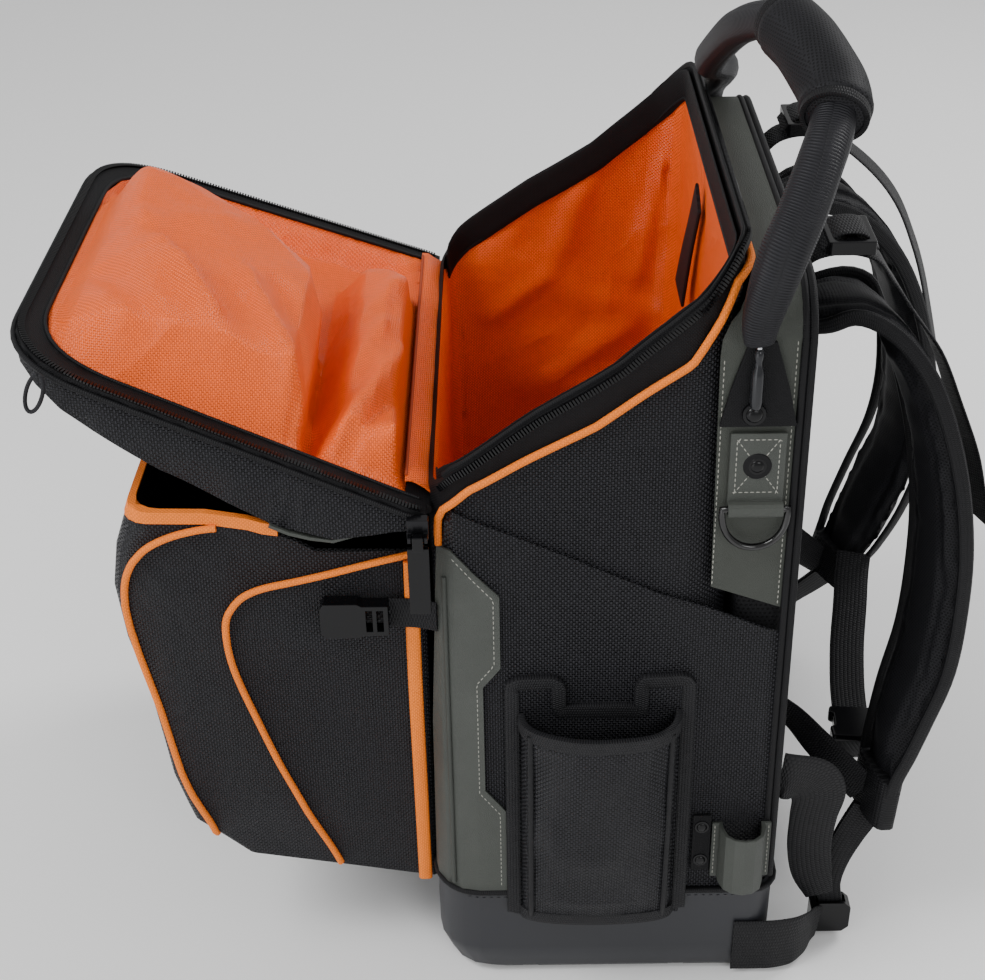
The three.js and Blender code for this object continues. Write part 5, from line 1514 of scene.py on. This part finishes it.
CHEST_STRAPS = {
    "left": [
        (-100, 202, 130), (-88, 199, 119), (-70, 196, 104), (-44, 191, 86), (-14, 187, 74),
        (10, 185, 69),
    ],
    "right": [
        (48, 181, 73.5), (72, 180, 86), (94, 178, 103), (110, 177, 118), (124, 177, 132),
    ],
}
STRAP_WIDTH = 25
KEEPER_ENDS = (-0.9, 0.8)


def keeper(side):
    """The webbing sleeve round a pad's lower end, drawn in a little at both ends."""
    before, last = pad_rows(side, 12, 4.2)[-2:]
    step = Vector(last.at) - Vector(before.at)
    rows = []
    for share in (KEEPER_ENDS[0], -0.85, -0.4, 0.0, 0.4, 0.75, KEEPER_ENDS[1]):
        row = last._replace(at=tuple(Vector(last.at) + step * share))
        if share in KEEPER_ENDS:
            row = row._replace(width=last.width * 0.93, thick=last.thick * 0.8)
        rows.append(row)
    finished(sweep(rows, ring_of(20, 0.6)), f"keeper_{side}", STRAP,
             replaces=[f"pad_web_{side}"], sharp=60)


for side, sign in SIDES:
    load = [(x, y, z, STRAP_WIDTH, math.cos(math.radians(a)), math.sin(math.radians(a)), 0)
            for x, y, z, a in LOAD_STRAPS[side]]
    tape(f"load_webbing_{side}", load, 60, replaces=[f"load_strap_{side}"])
    tape(f"base_webbing_{side}", mirrored(BASE_STRAP, sign), 40, (0, 0, 1),
         replaces=[f"base_strap_{side}"])
    tape(f"side_webbing_{side}", mirrored(SIDE_STRAP, sign), 48, replaces=[f"side_strap_{side}"])
    keeper(side)
    tape(f"pull_webbing_{side}", PAD_WEBS[side], 40, WEB_WAY, 4)
    tape(f"tie_webbing_{side}", PAD_TIES[side], 32)
    chest = [(*p, STRAP_WIDTH) for p in CHEST_STRAPS[side]]
    tape(f"chest_webbing_{side}", chest, 40, WEB_WAY, replaces=[f"chest_strap_{side}"])
    keep_node(f"strap_adjuster_{side}", GLOSS, 1.2, 3)
    keep_node(f"load_buckle_{side}", GLOSS, 1.2, 3)
keep_node("chest_buckle", GLOSS, 1.6, 3)

HINGE_SHEET = 0.0012


# The hinge: black cloth between the lid and the mouth, and the lining that crosses over it.
def hinge():
    fold = [(x, FRONT - 1.2, 345.5) for x in range(-158, 159, 12)]
    strip("hinge_cloth", fold, (8, 6.5), (0, 1, 0), FACING, ring_of(10), sharp=80)
    profile = [(-15, 9.2), (-11, 10.4), (-7, 9.6), (-3, 8.6), (1, 7.4)]
    over = [LID_FRAME @ Vector((0, y, z)) for y, z in profile]
    line = [(p.y, p.z) for p in over]
    line += [(-99.5, 351), (-97.2, 344), (-96.2, 330), (-96.6, 306), (-97.4, 280)]
    bm = bmesh.new()
    grid = []
    for i in range(57):
        x = -146 + 292 * i / 56
        column = []
        for k, (y, z) in enumerate(line):
            wave = ripple(x * 0.03, k * 0.5, 12.0) * ease(k, 0, 3)
            column.append(bm.verts.new(Vector((x, y + 1.2 * wave, z + 0.8 * wave)) * MM))
        grid.append([bm.edges.new(pair) for pair in zip(column, column[1:])])
    for left, right in zip(grid, grid[1:]):
        bmesh.ops.bridge_loops(bm, edges=left + right)
    bmesh.ops.recalc_face_normals(bm, faces=bm.faces)
    bmesh.ops.solidify(bm, geom=bm.faces[:], thickness=HINGE_SHEET)
    finished(bm, "hinge_lining", LINING, slot="orange_lining", sharp=60)
    seam = [tuple(LID_FRAME @ Vector((x, -14.6, 9.8))) for x in range(-140, 147, 6)]
    cordline("hinge_seam", seam, 0.9, DARK_ORANGE, slot="orange_lining")


hinge()

# Black webbing on the bag's back wall.
tape("inner_webbing", [
    (-8, 58.5, 458, 24, 0.91, 0, -0.41), (-20, 57.0, 432, 24, 0.91, 0, -0.41),
    (-32, 55.6, 406, 24, 0.91, 0.05, -0.41), (-45, 54.4, 377, 24, 0.91, 0.1, -0.41),
], 16, thick=2.2)

# Stitches on the grey leather, and the seams of its front patches.
YOKE_SURFACE = surface_of(YOKE_PIECE)
YOKE_LINES = [[(55.8, z) for z in range(288, 440, 6)], [(93.6, z) for z in range(288, 452, 6)]]
PATCH_EDGE = [(-65.4, 84), (-65.4, 141), (-77.6, 157), (-77.6, 238), (-67.4, 252), (-67.4, 296),
              (-91, 321)]
PATCH_FOLD = math.radians(34)


def side_stitches(name, surface, lines, sign):
    """Stitches along lines of y and z, laid from beside the pack."""
    lines = [[(sign * 200, y, z) for y, z in line] for line in lines]
    stitches(name, surface, lines, (-sign, 0, 0), 3.4)


for side, sign in SIDES:
    side_stitches(f"yoke_stitches_{side}", YOKE_SURFACE, YOKE_LINES, sign)
    patch = surface_of(bpy.data.objects[f"front_patch_{side}"])
    side_stitches(f"patch_stitches_{side}", patch, [PATCH_EDGE], sign)
    reach = FRONT_RADIUS + 4.4
    fold = [(half_width_at(z) - FRONT_RADIUS + reach * math.cos(PATCH_FOLD),
             FRONT + FRONT_RADIUS - reach * math.sin(PATCH_FOLD), z) for z in range(82, 316, 9)]
    cordline(f"patch_seam_{side}", mirrored(fold, sign), 1.5, PATCH_CORD, slot="grey_leather")

# Webbing through the ladder buckles. Columns: y, and height over the buckle's level.
BUCKLE_WEB = [(116, -3.0), (121, 3.0), (125, 6.0), (131, 6.8), (137, 6.0), (141, 3.0),
              (146, -3.0)]
for (side, sign), level in zip(SIDES, (471.6, 479.6)):
    bow = [(sign * 77, y, level + z, STRAP_WIDTH) for y, z in BUCKLE_WEB]
    tape(f"buckle_webbing_{side}", bow, 24, (1, 0, 0), 2)
